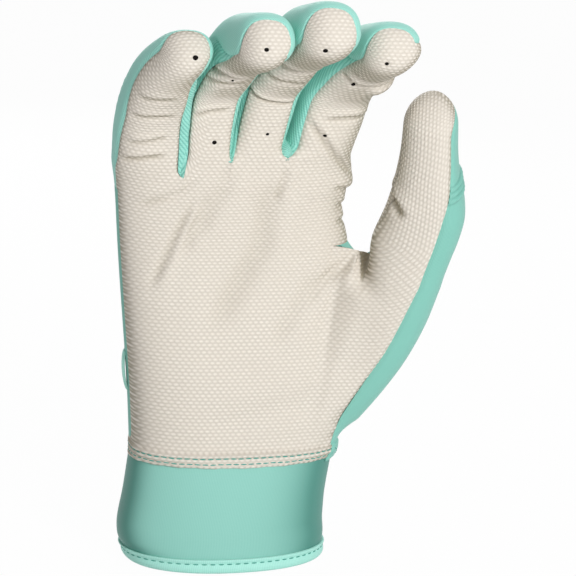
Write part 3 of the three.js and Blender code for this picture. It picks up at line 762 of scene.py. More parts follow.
def panelRows(stations, first, last, wide):  # a stretch of the palm's oval, row by row
    fine = np.linspace(0, 1, 240)
    count = int(wide / palm["grid"])
    rows = zip(stations, first, last)
    return np.stack([evenRow(palmSurface(s, mix(t0, t1, fine)), count) for s, t0, t1 in rows])


def mainRows(s, front):  # from the outer edge of the hand to the thumb's mound
    split, seam = palmTurn(s, splitAt(s), front), along(palm["leftSeam"], s)
    wide = palm["mainWide"]
    return panelRows(s, seam, split, wide) if front else panelRows(s, split, seam, wide)


def crotchRows(s, front):  # beside the index finger's root, above the thumb's crotch
    split, side = palmTurn(s, splitAt(s), front), np.full(len(s), palm["fingerSide"])
    wide = palm["sideWide"]
    return panelRows(s, split, side, wide) if front else panelRows(s, side, split + 360, wide)


def eased(points, column, weight, reach=10, times=40):  # takes the kink out of a grid along one column
    points = points.copy()
    part = points[:, column - reach:column + reach + 1]
    for _ in range(times):
        part[:, 1:-1] += 0.25 * weight[:, None, None] * (part[:, 2:] - 2 * part[:, 1:-1] + part[:, :-2])
    return points


dart = {"length": 10.5, "width": 4.6, "depth": 0.8}


def dartShade(points, s, seam):  # the tuck below the crotch, beside the column where the thumb's seam ends
    across = runAcross(points)
    t = np.clip((s[:, :1] - palm["crotch"]) / dart["length"] + 1, 0, 1)
    place = (across - across[:, seam:seam + 1]) / (dart["width"] * np.maximum(t, 0.05)) + 0.5
    return smooth(t / 0.3) * (1 - smooth((np.abs(place) - 0.4) / 0.25))


def handGrids(front):  # two grids, below and above the crotch, that share the row between them
    count = lambda length: int(length / palm["grid"])
    low = np.linspace(0, palm["crotch"], count(palm["crotch"]))
    high = np.linspace(palm["crotch"], palm["top"], count(palm["top"] - palm["crotch"]))
    mains = [mainRows(s, front) for s in (low, high)]
    side = crotchRows(high, front)
    if front:
        mound, station = moundGrid(low)
        grids = [np.hstack([mains[0], mound[:, 1:]]), np.hstack([mains[1], side[:, 1:]])]
        split = mains[0].shape[1] - 1
    else:
        mound = backMoundGrid(low)
        station = np.broadcast_to(low[:, None], mound.shape[:2])
        grids = [np.hstack([mound[:, :-1], mains[0]]), np.hstack([side[:, :-1], mains[1]])]
        split = mound.shape[1] - 1
    grids[0] = eased(grids[0], split, 1 - smooth((low - 66) / 12))
    flat = [np.broadcast_to(s[:, None], main.shape[:2]) for s, main in zip((low, high), mains)]
    stations = [np.hstack([flat[0], station[:, 1:]]) if front else np.hstack([station[:, :-1], flat[0]]),
                np.broadcast_to(high[:, None], grids[1].shape[:2])]
    return grids, stations, mains[0].shape[1]


def handNormals(grids, shared, front):  # normals that carry on over the crotch row and into the thumb
    low, high = grids
    ahead = np.stack([low[-1] + k * (low[-1] - low[-2]) for k in (1, 2)])
    behind = np.stack([high[0] - k * (high[1] - high[0]) for k in (2, 1)])
    here = slice(0, shared) if front else slice(-shared, None)
    ahead[:, here], behind[:, here] = high[1:3, here], low[-3:-1, here]
    foot = moundTop(front)[1]
    rows = np.stack([thumbRow(thumb["start"] + k * thumb["grid"] / thumbLength, front, foot) for k in (1, 2)])
    ahead[:, slice(-foot, None) if front else slice(0, foot)] = rows
    normals = [outwardWithin(low, low[:0], ahead), outwardWithin(high, behind, high[:0])]
    both = (normals[0][-1, here] + normals[1][0, here]) / 2
    normals[0][-1, here] = normals[1][0, here] = both
    return normals


def makePalm():
    raw, stations, shared = handGrids(True)
    grids, grains, foldShades = [], [], []
    for k, (points, s, normal) in enumerate(zip(raw, stations, handNormals(raw, shared, True))):
        x = points[..., 0]
        folds, creaseShade = foldPress(palmFolds, x, s)
        shade = dartShade(points, s, points.shape[1] - moundTop(True)[1]) if k == 0 else 0
        press = folds - relaxPalm(x, s) + 0.6 * (1 - smooth(s / 9)) - dart["depth"] * shade
        press += edgeRoll(points, (True, True))
        grids.append(points + normal * press[..., None])
        grains.append(grainField(x, s - rootDrop(x) * s / palm["length"]))
        foldShades.append(np.maximum(creaseShade, shade))
    made = sheetPiece("palmLeather", grids, grains, foldShades, leather, palm["wall"])
    finishPiece(made, "leather", "palm_panel")
    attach(made, "hand")
    return {"raw": raw, "grids": grids, "stations": stations, "shared": shared}


backLines = [  # seams on the back of the hand, with painted shade along their grooves
    fold(0.55, 0.6, 0, 0.5, (-21, -4), (-25, 30), (-28, 62), (-27.4, 112)),
    fold(0.55, 0.6, 0, 0.5, (20, -4), (19, 30), (15, 62), (13.6, 112)),
]
backRibs = {"at": (84, 88, 92, 96), "bow": 0.004, "width": 1.1, "rise": 0.7, "middle": -7, "reach": 17}


def makeBackhand():
    raw, stations, shared = handGrids(False)
    grids, foldShades = [], []
    crotchCorner = raw[0][-1, moundTop(False)[1] - 1]
    for points, s, normal in zip(raw, stations, handNormals(raw, shared, False)):
        x = points[..., 0]
        folds, creaseShade = foldPress(backLines, x, s)
        bowed = s - backRibs["bow"] * x**2
        ribs = sum(backRibs["rise"] * bell(bowed - at, backRibs["width"]) for at in backRibs["at"])
        onBack = smooth((backRibs["reach"] - np.abs(x - backRibs["middle"])) / 4)
        knuckle = -0.5 * bell(s - palm["top"], 0.8)
        behind = 1.2 * bell(np.linalg.norm(points - crotchCorner, axis=-1), 3.6)  # stays behind the leather
        press = folds + ribs * onBack + knuckle + edgeRoll(points, (True, True)) + behind
        grids.append(points + normal * press[..., None])
        foldShades.append(creaseShade)
    made = sheetPiece("backhand", grids, [grainOf(g) for g in grids], foldShades, backCloth, palm["wall"])
    finishPiece(made, "back", "backhand_panel")
    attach(made, "hand")
    return {"raw": raw, "grids": grids, "shared": shared}


palmParts = makePalm()
backParts = makeBackhand()
print("palm and back made")


def blendAt(made):  # bakes a piece's placement into its mesh
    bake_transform(made)


thumbFolds = [  # across from the inner seam, along the thumb
    fold(1.9, 1.7, 0.6, 1, (2, 114), (7, 112.4), (11.3, 110.7), (15, 109), (18.1, 106.6), (20, 104)),
]


def thumbLeather(points, shares, foot):  # folds, their shade and the grain of the thumb's front
    share = shares[:, None]
    radius = thumb["tipRadius"]
    tipShare = 1 - radius / thumbLength
    middle, side, back = thumbFrame(tipShare)
    row = np.broadcast_to((share - tipShare) * thumbLength, points.shape[:2])
    middles, sides, _ = thumbFrame(shares)
    nose = fromNose(points, np.einsum("rck,rk->rc", points - middles[:, None], sides))
    wide, rise = capGrain(points, middle, np.cross(side, back), back, radius, nose, row)
    s = palmParts["stations"][0][-1, -foot:] + (share - thumb["start"]) * thumbLength + rise - row
    settle = smooth((share - thumb["start"]) / 0.3)
    grain = grainField(mix(points[:1, :, 0], wide + (points[0, :, 0] - nose[0]).mean(), settle), s)
    press, shade = foldPress(thumbFolds, runAcross(points), share * thumbLength)
    return press, shade, grain


thumbRibs = {  # by the share of the thumb's length
    "at": (0.766, 0.78, 0.794), "wide": 0.0042, "rise": 1.2, "slant": 0.0016,
    "grooves": (0.759, 0.773, 0.787, 0.801), "grooveWide": 0.0026, "middle": 8, "reach": 9,
}


def thumbCloth(points, shares):  # slanting flex ribs, painted shade in the grooves between them and a plain grain
    across = runAcross(points)
    outer = bell(across - thumbRibs["middle"], thumbRibs["reach"])
    lean = shares[:, None] - thumbRibs["slant"] * (across - 4)
    press = thumbRibs["rise"] * outer * sum(bell(lean - at, thumbRibs["wide"]) for at in thumbRibs["at"])
    shade = outer * sum(bell(lean - at, thumbRibs["grooveWide"]) for at in thumbRibs["grooves"])
    return press, shade, grainOf(points)


def makeThumb():
    start, split = thumb["start"], thumb["split"]
    rowsIn = lambda length: int(length * thumbLength / thumb["grid"])
    lower = np.linspace(start, split, rowsIn(split - start))
    upper = np.sin(np.linspace(0, math.pi / 2, rowsIn(1.25 * (1 - split))))
    shares = np.concatenate([lower, split + (1 - split) * upper[1:]])
    for front, word, cloth, slot in ((True, "Front", leather, "leather"), (False, "Back", backCloth, "back")):
        foot = moundTop(front)[1]
        points = np.stack([thumbRow(share, front, foot) for share in shares])
        mound = (palmParts if front else backParts)["raw"][0][-3:-1]
        normal = outwardWithin(points, mound[:, -foot:] if front else mound[:, :foot], points[:0])
        press, shade, grain = thumbLeather(points, shares, foot) if front else thumbCloth(points, shares)
        share = shares[:, None]
        capFade = (1 - smooth((share - 0.95) / 0.02)) if front else 1.0  # no seam runs over the tip
        press = press + edgeRoll(points, (not front, front)) * capFade
        press += edgeRoll(points, (front, not front)) * smooth((share - start) / 0.04) * capFade
        points = points + normal * press[..., None]
        for label, rows in (("Lower", slice(0, len(lower))), ("Tip", slice(len(lower) - 1, None))):
            name = f"thumb{word}{label}"
            made = sheetPiece(name, [points[rows]], [grain[rows]], [shade[rows]], cloth, thumb["wall"])
            nodes = [f"thumb_{word.lower()}_{label.lower()}"]
            if not front:
                nodes.append("thumb_root_insert" if label == "Lower" else "thumb_joint_insert")
            finishPiece(made, slot, *nodes)
            blendAt(made)


makeThumb()

gusset = {"columns": 60, "rows": 24, "lap": 0.02, "sag": 6.0, "tuck": 3.4, "apart": (0.7, 1.3), "wall": 0.8}


def makeGusset():  # the mint web in the crotch between the index finger and the thumb
    front, back = palmParts["grids"], backParts["grids"]
    split, behind = palmParts["shared"] - 1, -backParts["shared"]
    nearFinger = np.vstack([front[1][0, split:], back[1][0, :behind + 1]])
    inFront = front[0][-1, split:front[0].shape[1] - moundTop(True)[1] + 1]
    inBack = back[0][-1, moundTop(False)[1] - 1:behind + 1]
    count = gusset["columns"]
    first, second = evenRow(nearFinger, count), evenRow(np.vstack([inFront, inBack]), count)
    v = np.linspace(-gusset["lap"], 1 + gusset["lap"], gusset["rows"])[:, None]
    points = mix(second[None], first[None], v[..., None])
    turn = np.linspace(0, math.pi, count)
    middle = np.sin(turn)[None, :]
    points[..., 2] -= gusset["sag"] * v * (1 - v) * middle + gusset["tuck"] * (1 - v) * middle**4
    points[..., 1] += (gusset["apart"][0] + gusset["apart"][1] * (1 - v)) * np.cos(turn)
    plainPiece("crotchGusset", points, sideKnit, "knit", [], gusset["wall"])


makeGusset()
print("thumb made")

# fingers: stations run from the finger's root to its tip; widths and depths are halves, drift is sideways
fingerCommon = {
    "squareness": 2.4, "tipLift": 0.05, "cap": 2.6, "morphLow": -10, "morphHigh": 14, "opening": 0.42,
    "reach": 10, "overlap": 0.9, "grid": 0.55, "wall": 1.1,
    "rootSpan": (-8, 11), "jointSpan": (-10, 10),  # the stretches that bend
    "wide": {"front": 30, "back": 30, "right": 13, "left": 13},
    "capFrom": (10, 2.6), "capTo": 1.0,  # from the tip: where the leather's sides start to close, and end
    "meet": 20,  # turn at which both sides meet
    "sideBack": 22, "sideFade": 22,  # turn where a side panel meets the back, and the length it narrows over
    "ribs": (-4.5, -1.5, 1.5, 4.5),  # flex ribs beside the joint
}
fingers = [
    {"name": "index", "joint": 26, "length": 72, "centre": 24.8,
     "web": (10.6, None), "webStart": (2.5, 0), "webOpen": (2.6, 15), "swell": (0, 0),
     "drift": [(0, 0.3), (26, 4.7), (36, 7.4), (44, 9.3), (58, 10.3), (72, 11.1)],
     "curls": [(26, 15, 34), (47, 15, 27)],
     "wide": [(0, 13.9), (26, 13.3), (36, 12.9), (43, 12.4), (50, 11.4), (60, 11), (72, 10.6)],
     "front": [(0, 11.4), (26, 10.4), (40, 10), (50, 10.2), (60, 9.6), (72, 8.6)],
     "back": [(0, 11.4), (72, 10.2)],
     "corners": ([(0, 3.2), (40, 2.4)], [(0, 2.4), (45, 2.0), (58, 1.6), (72, 1.6)]),
     "leftSeam": [(0, 48), (12, 40), (24, 34), (32, 30), (40, 26), (48, 24), (56, 18), (64, 13)],
     "rightSeam": [(0, -22), (40, -22), (60, -14)]},
    {"name": "middle", "joint": 28, "length": 80, "centre": 0.2,
     "web": (-10.4, 10.6), "webStart": (1.0, 2.5), "webOpen": (9, 2.6), "swell": (0.5, 0),
     "drift": [(0, 0), (28, 3.9), (52, 7.8), (80, 10.9)], "curls": [(28, 15, 33), (53, 15, 25)],
     "wide": [(0, 10.1), (28, 10.2), (52, 10), (66, 11.2), (80, 10.8)],
     "front": [(0, 11.6), (28, 10.6), (42, 10.4), (54, 10.8), (66, 10.4), (80, 9.2)],
     "back": [(0, 11.6), (50, 12), (66, 11.4), (80, 11)],
     "corners": ([(0, 4), (40, 2.4)], [(0, 3), (40, 2.4), (60, 1.9), (80, 1.8)]),
     "leftSeam": [(0, 32), (8, 24), (14, 18), (24, 16), (30, 10), (36, 13), (40, 20), (48, 30), (56, 34),
                  (64, 29), (69, 18)],
     "rightSeam": [(0, 40), (28, 50), (44, 44), (60, 46), (73, 46), (78, 32)]},
    {"name": "ring", "joint": 27, "length": 74, "centre": -18.8,
     "web": (-27.4, -10.4), "webStart": (-1.4, 1.0), "webOpen": (2.4, 9), "swell": (1.6, 0.4),
     "drift": [(0, -0.1), (20, 0.8), (40, 4.0), (74, 8.6)], "curls": [(27, 15, 34.5), (49, 15, 26)],
     "wide": [(0, 9.0), (20, 9.4), (34, 9.6), (50, 9.8), (62, 10.2), (74, 9.8)],
     "front": [(0, 11.4), (27, 10.2), (40, 10), (50, 10.2), (62, 9.8), (74, 8.6)],
     "back": [(0, 11.4), (46, 12), (60, 11), (74, 10.2)],
     "corners": ([(0, 7), (26, 5), (42, 2.4)], [(0, 4), (40, 2.4), (56, 1.8), (74, 1.7)]),
     "leftSeam": [(0, 56), (4, 49), (8, 40), (14, 30), (20, 22), (28, 17), (36, 14), (40, 17), (46, 25),
                  (54, 28), (63, 20)],
     "rightSeam": [(0, 35), (27, 46), (44, 46), (60, 48), (68, 48), (72, 44)]},
    {"name": "little", "joint": 24, "length": 60, "centre": -39.7, "capFrom": (7.5, 2.6),
     "web": (None, -27.4), "webStart": (0, -1.4), "webOpen": (15, 2.4), "swell": (0, 1.3),
     "drift": [(0, 0.5), (20, 0.3), (34, 1.2), (44, 2.8), (54, 5.4), (60, 6.6)],
     "curls": [(22, 30, 26), (42, 22, 12)],
     "wide": [(0, 12.2), (24, 12), (38, 11.2), (52, 9.8), (60, 9.2)],
     "front": [(0, 11.2), (24, 10.4), (40, 10), (50, 9.4), (60, 8.2)],
     "back": [(0, 11.2), (24, 10.4), (36, 11.2), (48, 9.6), (60, 7.8)],
     "corners": ([(0, 2.4), (60, 2.4)], [(0, 7), (24, 5), (40, 2.2), (52, 1.7), (60, 1.7)]),
     "leftSeam": [(0, 16), (12, 22), (20, 26), (24, 24), (32, 13), (36, 7), (44, 0), (56, -4)],
     "rightSeam": [(0, 60), (24, 66), (34, 54), (44, 48), (52, 46), (58, 30)]},
]


def fingerSpine(f):
    at = palm["length"] - rootDrop(f["centre"])
    y, z, lean = (np.interp(at, palmSpine["s"], palmSpine[k]) for k in ("y", "z", "lean"))
    return makeSpine(y, z, np.degrees(lean), f["curls"], -20, f["length"] + 5)


def fingerPlace(f, spine, s):  # the middle of a finger at a station
    return onSpine(spine, s, f["centre"] + along(f["drift"], s), 0.0)


def fingerSection(f, s, turn):
    half, front, back = (along(f[k], s) for k in ("wide", "front", "back"))
    past = np.clip((s - f["length"] + half) / half, 0, 1)
    dome = (1 - past ** fingerCommon["cap"]) ** (1 / fingerCommon["cap"])
    c, n = np.cos(np.radians(turn)), np.sin(np.radians(turn))
    corner = np.where(c < 0, along(f["corners"][0], s), along(f["corners"][1], s))
    power = 2 / np.where(n < 0, corner, fingerCommon["squareness"])
    x = half * dome * np.sign(c) * np.abs(c) ** power
    depth = np.where(n < 0, front, back) * dome * np.sign(n) * np.abs(n) ** power
    return f["centre"] + along(f["drift"], s) + x, depth + (1 - dome) * fingerCommon["tipLift"] * back


def sideEnd(f):  # where the side panels end and the tip begins
    return f["length"] - f["wide"][-1][1]


def seamTurns(f, s):  # where the seams run round a finger, as the first and last turn of each panel
    common = fingerCommon
    starts, end, meet = f.get("capFrom", common["capFrom"]), common["capTo"], common["meet"]
    closings = [capClosing((start - f["length"] + s) / (start - end)) for start in starts]
    left = mix(along(f["leftSeam"], s), meet - 180, closings[0])
    right = mix(along(f["rightSeam"], s), -meet, closings[1])
    fade = 1 - smooth((s - sideEnd(f) + common["sideFade"]) / common["sideFade"])
    sideTo = lambda seam: np.maximum(mix(-seam, common["sideBack"], fade), -seam)
    behind = lambda seam, web: -seam if web is None else sideTo(seam)
    backLeft, backRight = behind(left, f["web"][0]), behind(right, f["web"][1])
    return {
        "front": (180 + left, 360 - right), "right": (-right, backRight),
        "back": (backRight, 180 - backLeft), "left": (180 - backLeft, 180 + left),
    }


def palmPart(f, part, s, count):  # the stretch of the palm's oval that a finger's panel grows from
    at = palm["length"] + s
    fine = np.linspace(0, 1, 160)
    webLeft, webRight = f["web"]
    if part in ("front", "back"):
        front = part == "front"
        left = palmTurn(at, webLeft, front) if webLeft is not None else along(palm["leftSeam"], at)
        right = palmTurn(at, webRight, front) if webRight is not None else palm["fingerSide"]
        first, last = (left, right) if front else (right - (360 if webRight is None else 0), left)
        x, back = palmSection(at, mix(first, last, fine))
    else:
        web = webRight if part == "right" else webLeft
        low, high = (palmSection(at, palmTurn(at, web, side))[1] for side in (True, False))
        if part == "left":
            low, high = high, low
        x, back = np.full(len(fine), float(web)), mix(low, high, fine)
    return evenRow(palmPlace(at, x, back), count)


def fingerGrid(f, spine, part, stations, count):
    fine, c = np.linspace(0, 1, 160), np.linspace(0, 1, count)
    low, high = fingerCommon["morphLow"], fingerCommon["morphHigh"]
    rows = []
    for s in stations:
        t0, t1 = (float(t) for t in seamTurns(f, np.array(s))[part])
        x, back = fingerSection(f, s, mix(t0, t1, fine))
        own = evenRow(onSpine(spine, s, x, back), count)
        if s < high:  # the root grows out of the palm, and the slots open beside it
            middle = smooth((s - low) / (high - low))
            opens = [middle if web is None else np.clip((s - a) / w, 0, 1) ** fingerCommon["opening"]
                     for web, a, w in zip(f["web"], f["webStart"], f["webOpen"])]
            if part in ("front", "back"):
                first, last = opens if part == "front" else opens[::-1]
                weight = mix(middle, np.where(c < 0.5, first, last), np.abs(2 * c - 1) ** 3)
            else:
                weight = np.full(count, opens[part == "right"])
            own = mix(palmPart(f, part, s, count), own, weight[:, None])
        rows.append(own)
    return np.stack(rows)


fingerFolds = {  # across from the middle of the leather, along the finger
    "index": [
        fold(1.1, 0.7, 0.5, 0.3, (-13, 16.6), (-2, 17.2), (10, 16.3)),
        fold(1.5, 1.3, 0.8, 0.6, (-18, 46), (-14, 44.5), (-8, 42.5), (4, 41), (12, 41)),
        fold(1.4, 0.8, 0.4, 0.4, (-15, 53), (-6, 50), (8, 49)),
        fold(3.2, -2.0, 0, 0, (-4, 37.5), (4, 37.5), (12, 37), (22, 36)),  # a roll
        fold(1.2, 0.9, 0.6, 0.4, (-20, 18), (-16, 14.6), (-5.6, 5), (8.6, -7.5), (13, -10)),
    ],
    "middle": [
        fold(1.1, 1.0, 0.6, 0.6, (-12, 27.8), (-7.1, 26.8), (2, 24.6), (10.8, 22.9)),
        fold(2.0, 1.4, 0.5, 0.6, (-14, 46), (-8, 48), (0, 50), (10, 49)),
        fold(1.2, 0.6, 0.4, 0.25, (-11, 39), (0, 41), (9, 39)),
    ],
    "ring": [
        fold(1.0, 0.7, 0.5, 0.3, (-9, 16.6), (-2, 19), (7, 20.4)),
        fold(1.6, 1.5, 0.8, 0.7, (-13, 40), (-9.7, 42), (-3, 46), (6, 47)),
        fold(1.2, 0.7, 0.4, 0.4, (-11, 36), (-4, 39), (5, 41)),
    ],
    "little": [
        fold(1.0, 0.9, 0.5, 0.5, (-11, 3.6), (-7.7, 4.6), (0, 6.4), (8, 8)),
        fold(1.2, 0.6, 0.4, 0.25, (-9, 11), (0, 13), (8, 16)),
        fold(1.3, 0.6, 0.4, 0.25, (-9, 24), (0, 26), (9, 27)),
        fold(1.3, 0.5, 0.3, 0.25, (-8, 34), (0, 36), (8, 37)),
    ],
}
vents = {  # punched holes: place along the finger, turn round it, radius
    "index": [(70.2, 236, 0.9), (40.9, 250, 0.9), (10.6, 263, 0.8)],
    "middle": [(77.2, 247, 1.1), (10.8, 270, 0.8)],
    "ring": [(73.5, 227, 1.0), (42.9, 259, 0.6), (7.4, 271, 1.1)],
    "little": [(58.9, 274, 1.2)],
}


def makeVents(name, holes):  # near-black ovals set into their dimples: painted shade standing in for the open holes
    beads = [(place, Vector(way).to_track_quat("Z", "Y").to_matrix().to_4x4(), (size, 0.8 * size, 0.3))
             for place, way, size in holes]
    return finishPiece(beadPiece(name, beads, (16, 8), ventHoleShade), "leather")


def fingerLengths(f):  # the stations of a finger's two lengths, closer together towards the tip
    half, lap = f["joint"] / 2, fingerCommon["overlap"]
    reach, grid = fingerCommon["reach"], fingerCommon["grid"]
    rest = f["length"] - half
    toTip = np.sin(np.linspace(0, math.pi / 2, int(1.5 * rest / grid)))
    lower = np.linspace(-reach - lap, half, int((half + reach) / grid))
    return {"lower": lower, "tip": half - lap + (rest + lap) * toTip}


def frontSurface(f, spine, label, points, s):  # folds, painted shade in the folds, grain and vent holes of a finger's leather
    x, at = points[..., 0], s + palm["length"]
    folds, creaseShade = foldPress(fingerFolds[f["name"]], grainOf(points)[..., 0], s)
    palmPress = foldPress(palmFolds, x, at)[0] - relaxPalm(x, at)
    folds = folds + palmPress * (1 - smooth((s + 4) / 8))
    holes = []
    for station, turn, size in vents[f["name"]]:
        if (station < f["joint"] / 2) == (label == "lower"):
            hole = onSpine(spine, station, *fingerSection(f, np.array(station), np.array(turn)))
            away = np.linalg.norm(points - hole, axis=-1)
            folds = folds - 0.5 * bell(away, 1.2 * size)
            holes.append((away.argmin(), size))
    nose = fromNose(points, x - f["centre"] - along(f["drift"], s))
    run = mix(x, nose + f["centre"], smooth((s + 10) / 14))
    if label == "tip":
        radius = along(f["wide"], f["length"])
        middle = f["length"] - radius
        lean = np.interp(middle, spine["s"], spine["lean"])
        ahead = np.array([0, -math.sin(lean), math.cos(lean)])
        back = np.array([0, math.cos(lean), math.sin(lean)])
        run, rise = capGrain(points, fingerPlace(f, spine, middle), ahead, back, radius, nose, s - middle)
        run, at = run + f["centre"], palm["length"] + middle + rise
    at = at - rootDrop(x) * np.minimum(at / palm["length"], 1)
    grain = np.stack([run - grainCentre[0], at - grainCentre[1], np.zeros_like(s)], -1)
    return folds, creaseShade, grain, holes


def clothSurface(f, part, points, s):  # the same of a back or a side, which has no holes
    across = grainOf(points)[..., 0]
    if part == "back":  # flex ribs over the joint
        ribs = sum(bell(s - f["joint"] - k, 1.0) for k in fingerCommon["ribs"])
        folds = 0.6 * ribs * np.exp(-((across / 7.5) ** 4))
    else:  # a swelling beside the leather
        inward = across - across[:, :1] if part == "right" else across[:, -1:] - across
        swell = f["swell"][part == "right"] * (1 - smooth((s - 20) / 14))
        folds = swell * bell(inward - 2.6, 2.2)
    return folds, np.zeros(s.shape), np.stack([across, s, np.zeros_like(s)], -1), []


fingerTrim = {  # cloth, slot and node of each panel
    "front": (leather, "leather", "front"), "back": (fingerCloth, "back", "back"),
    "right": (sideKnit, "knit", "inner_side"), "left": (sideKnit, "knit", "outer_side"),
}


def makeFingers():
    for f in fingers:
        spine, finger = fingerSpine(f), f["name"]
        bend = [f["joint"] + away for away in fingerCommon["jointSpan"]]
        spans = {"lower": fingerCommon["rootSpan"], "tip": bend}
        for label, stations in fingerLengths(f).items():
            start, end = (fingerPlace(f, spine, at) * mm for at in spans[label])
            for part, wide in fingerCommon["wide"].items():
                rows = stations
                if part in ("left", "right"):
                    if f["web"][part == "right"] is None:
                        continue
                    rows = rows[rows > f["webStart"][part == "right"] - 0.6]
                    if label == "tip":
                        rows = rows[rows < sideEnd(f) - 1]
                points = fingerGrid(f, spine, part, rows, int(wide / fingerCommon["grid"]))
                s = np.broadcast_to(rows[:, None], points.shape[:2])
                rolled = edgeRoll(points, (True, True)) * smooth((s + 2) / 6)
                if part == "front":
                    folds, creaseShade, grain, holes = frontSurface(f, spine, label, points, s)
                    rolled *= 1 - smooth((s - f["length"] + 5) / 2)
                else:
                    folds, creaseShade, grain, holes = clothSurface(f, part, points, s)
                points = pushed(points, folds + rolled + tuck(s))
                cloth, slot, node = fingerTrim[part]
                name = f"{finger}{part.capitalize()}{label.capitalize()}"
                pieces = [sheetPiece(name, [points], [grain], [creaseShade], cloth, fingerCommon["wall"])]
                nodes = [f"{finger}_{node}_{label}"]
                if part == "back":
                    nodes.append(f"{finger}_{'knuckle' if label == 'lower' else 'joint'}_insert")
                finishPiece(pieces[0], slot, *nodes)
                if holes:
                    flat, ways = points.reshape(-1, 3), outward(points).reshape(-1, 3)
                    pieces.append(makeVents(f"{name}Vents", [(flat[k], ways[k], size) for k, size in holes]))
                for piece in pieces:
                    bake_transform(piece)


makeFingers()
print("fingers made")

# cuff: the same lengths as the solids
cuff = {
    "height": 42.0, "squareness": 2.2, "grid": 0.9, "sideSeam": 5, "hem": 5.5, "slit": (11, 5), "wall": 1.4,
    "halfWidth": [(0, 38.2), (4, 39), (9, 40.2), (16, 40), (26, 39.4), (42, 39.6)],
    "halfDepth": [(0, 24.5), (42, 22.5)],
    "centre": [(0, 1.6), (4, 0.9), (9, 0), (16, -0.4), (42, 2.4)],
}
tongue = {"rows": (3, 44), "turns": (73, 107), "out": -1.9, "wall": 1.2}


def cuffPoint(z, turn, out=0.0):
    width, depth = along(cuff["halfWidth"], z) + out, along(cuff["halfDepth"], z) + out
    x, y = onOval(turn, width, depth, cuff["squareness"])
    return np.stack(np.broadcast_arrays(x + along(cuff["centre"], z), y, z), -1)


def slitTurn(z):  # half the slit's width, in degrees
    return np.degrees(mix(*cuff["slit"], z / cuff["height"]) / 2 / along(cuff["halfWidth"], z))


def wrapGrid(heights, first, last, out):  # a stretch of the cuff's surface
    fine = np.linspace(0, 1, 200)
    valueAt = lambda value, z: value(z) if callable(value) else value
    turns = lambda z: mix(valueAt(first, z), valueAt(last, z), fine)
    middle = heights[len(heights) // 2]
    count = max(int(runOf(cuffPoint(middle, turns(middle)))[-1] / cuff["grid"]), 3)
    return np.stack([evenRow(cuffPoint(z, turns(z), valueAt(out, z)), count) for z in heights])


def makeCuff():
    heights = np.linspace(cuff["hem"] - 1.5, cuff["height"] + 0.6, 44)
    side = cuff["sideSeam"]
    roll = lambda z: -1.2 * smooth((z - cuff["height"] + 1.2) / 1.8)
    for name, node, first, last in (
        ("cuffFront", "cuff_front", 180 - side, 360 + side),
        ("cuffBackOuter", "cuff_back_outer", lambda z: 90 + slitTurn(z), 180 - side),
        ("cuffBackInner", "cuff_back_inner", side, lambda z: 90 - slitTurn(z)),
    ):
        plainPiece(name, wrapGrid(heights, first, last, roll), cuffSatin, "cuff", [node], cuff["wall"])
    behind = wrapGrid(np.linspace(*tongue["rows"], 30), *tongue["turns"], tongue["out"])
    plainPiece("wristTongue", behind, sideKnit, "knit", ["wrist_tongue"], tongue["wall"])


binding = [  # a folded tape round the hem, as height and distance out: bright lip above, round edge below
    (5.6, 0.1), (5.7, 0.6), (5.2, 0.95), (4.4, 0.65), (3.9, 0.45), (3.3, 0.65), (2.2, 0.9), (1.0, 0.6),
    (0.25, -0.1), (0.0, -0.8), (0.25, -1.4), (1.0, -2.0), (4.5, -2.1), (5.4, -1.9), (5.6, -1.4),
]


def makeBinding():
    loop = evenRow(curveThrough([(z, out, 0) for z, out in binding + binding[:1]]), 60)
    turns = np.linspace(90 + float(slitTurn(3)), 450 - float(slitTurn(3)), 300)
    points = np.stack([cuffPoint(z, turns, out) for z, out, _ in loop])
    plainPiece("hemBinding", points, bindingTape, "binding", ["hem_binding"], 0)


strip = {"low": -1.4, "high": 5.0, "turns": (166, 330), "out": 1.0, "rows": (1.5, 3.6), "wall": 0.9}


def stripPoint(turns, s, out):  # a place on the turned edge, s above the top of the cuff
    z = cuff["height"] + s
    low = cuffPoint(np.minimum(z, cuff["height"]), turns, 0.0)
    high = palmSurface(np.maximum(s, 0.0), turns)
    base = mix(low, high, smooth((np.broadcast_to(s, turns.shape) + 2) / 4)[..., None])
    base[..., 2] = np.broadcast_to(z, turns.shape)
    across = cuffPoint(cuff["height"], turns, 1.0) - cuffPoint(cuff["height"], turns, 0.0)
    ends = smooth((turns - strip["turns"][0]) / 24) * smooth((strip["turns"][1] - turns) / 10)
    return base + across * (out * mix(0.15, 1, ends))[..., None]


def stripWave(turns):  # the cut edge wanders a little
    return 0.12 * np.sin(turns / 2.9) + 0.05 * np.sin(turns / 1.1 + 1)


def makeStrip():  # the leather's turned edge over the top of the cuff
    turns = np.linspace(*strip["turns"], 280)
    rows = []
    for share in np.linspace(0, 1, 26):
        s = mix(strip["low"] + stripWave(turns), strip["high"], share)
        pulled = sum(0.4 * bell(s - strip["low"] - row, 0.5) for row in strip["rows"])
        turnedIn = 2.0 * smooth((share - 0.72) / 0.28) + 0.6 * (1 - smooth(share / 0.14))
        rows.append(stripPoint(turns, s, strip["out"] + 0.5 - pulled - turnedIn))
    points = np.stack(rows)
    s = points[..., 2] - cuff["height"]
    grain = grainField(points[..., 0], s)
    made = sheetPiece("palmHem", [points], [grain], [np.zeros(s.shape)], leather, strip["wall"])
    finishPiece(made, "leather", "palm_hem")
    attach(made, "hand")


makeCuff()
makeBinding()
makeStrip()
print("cuff made")


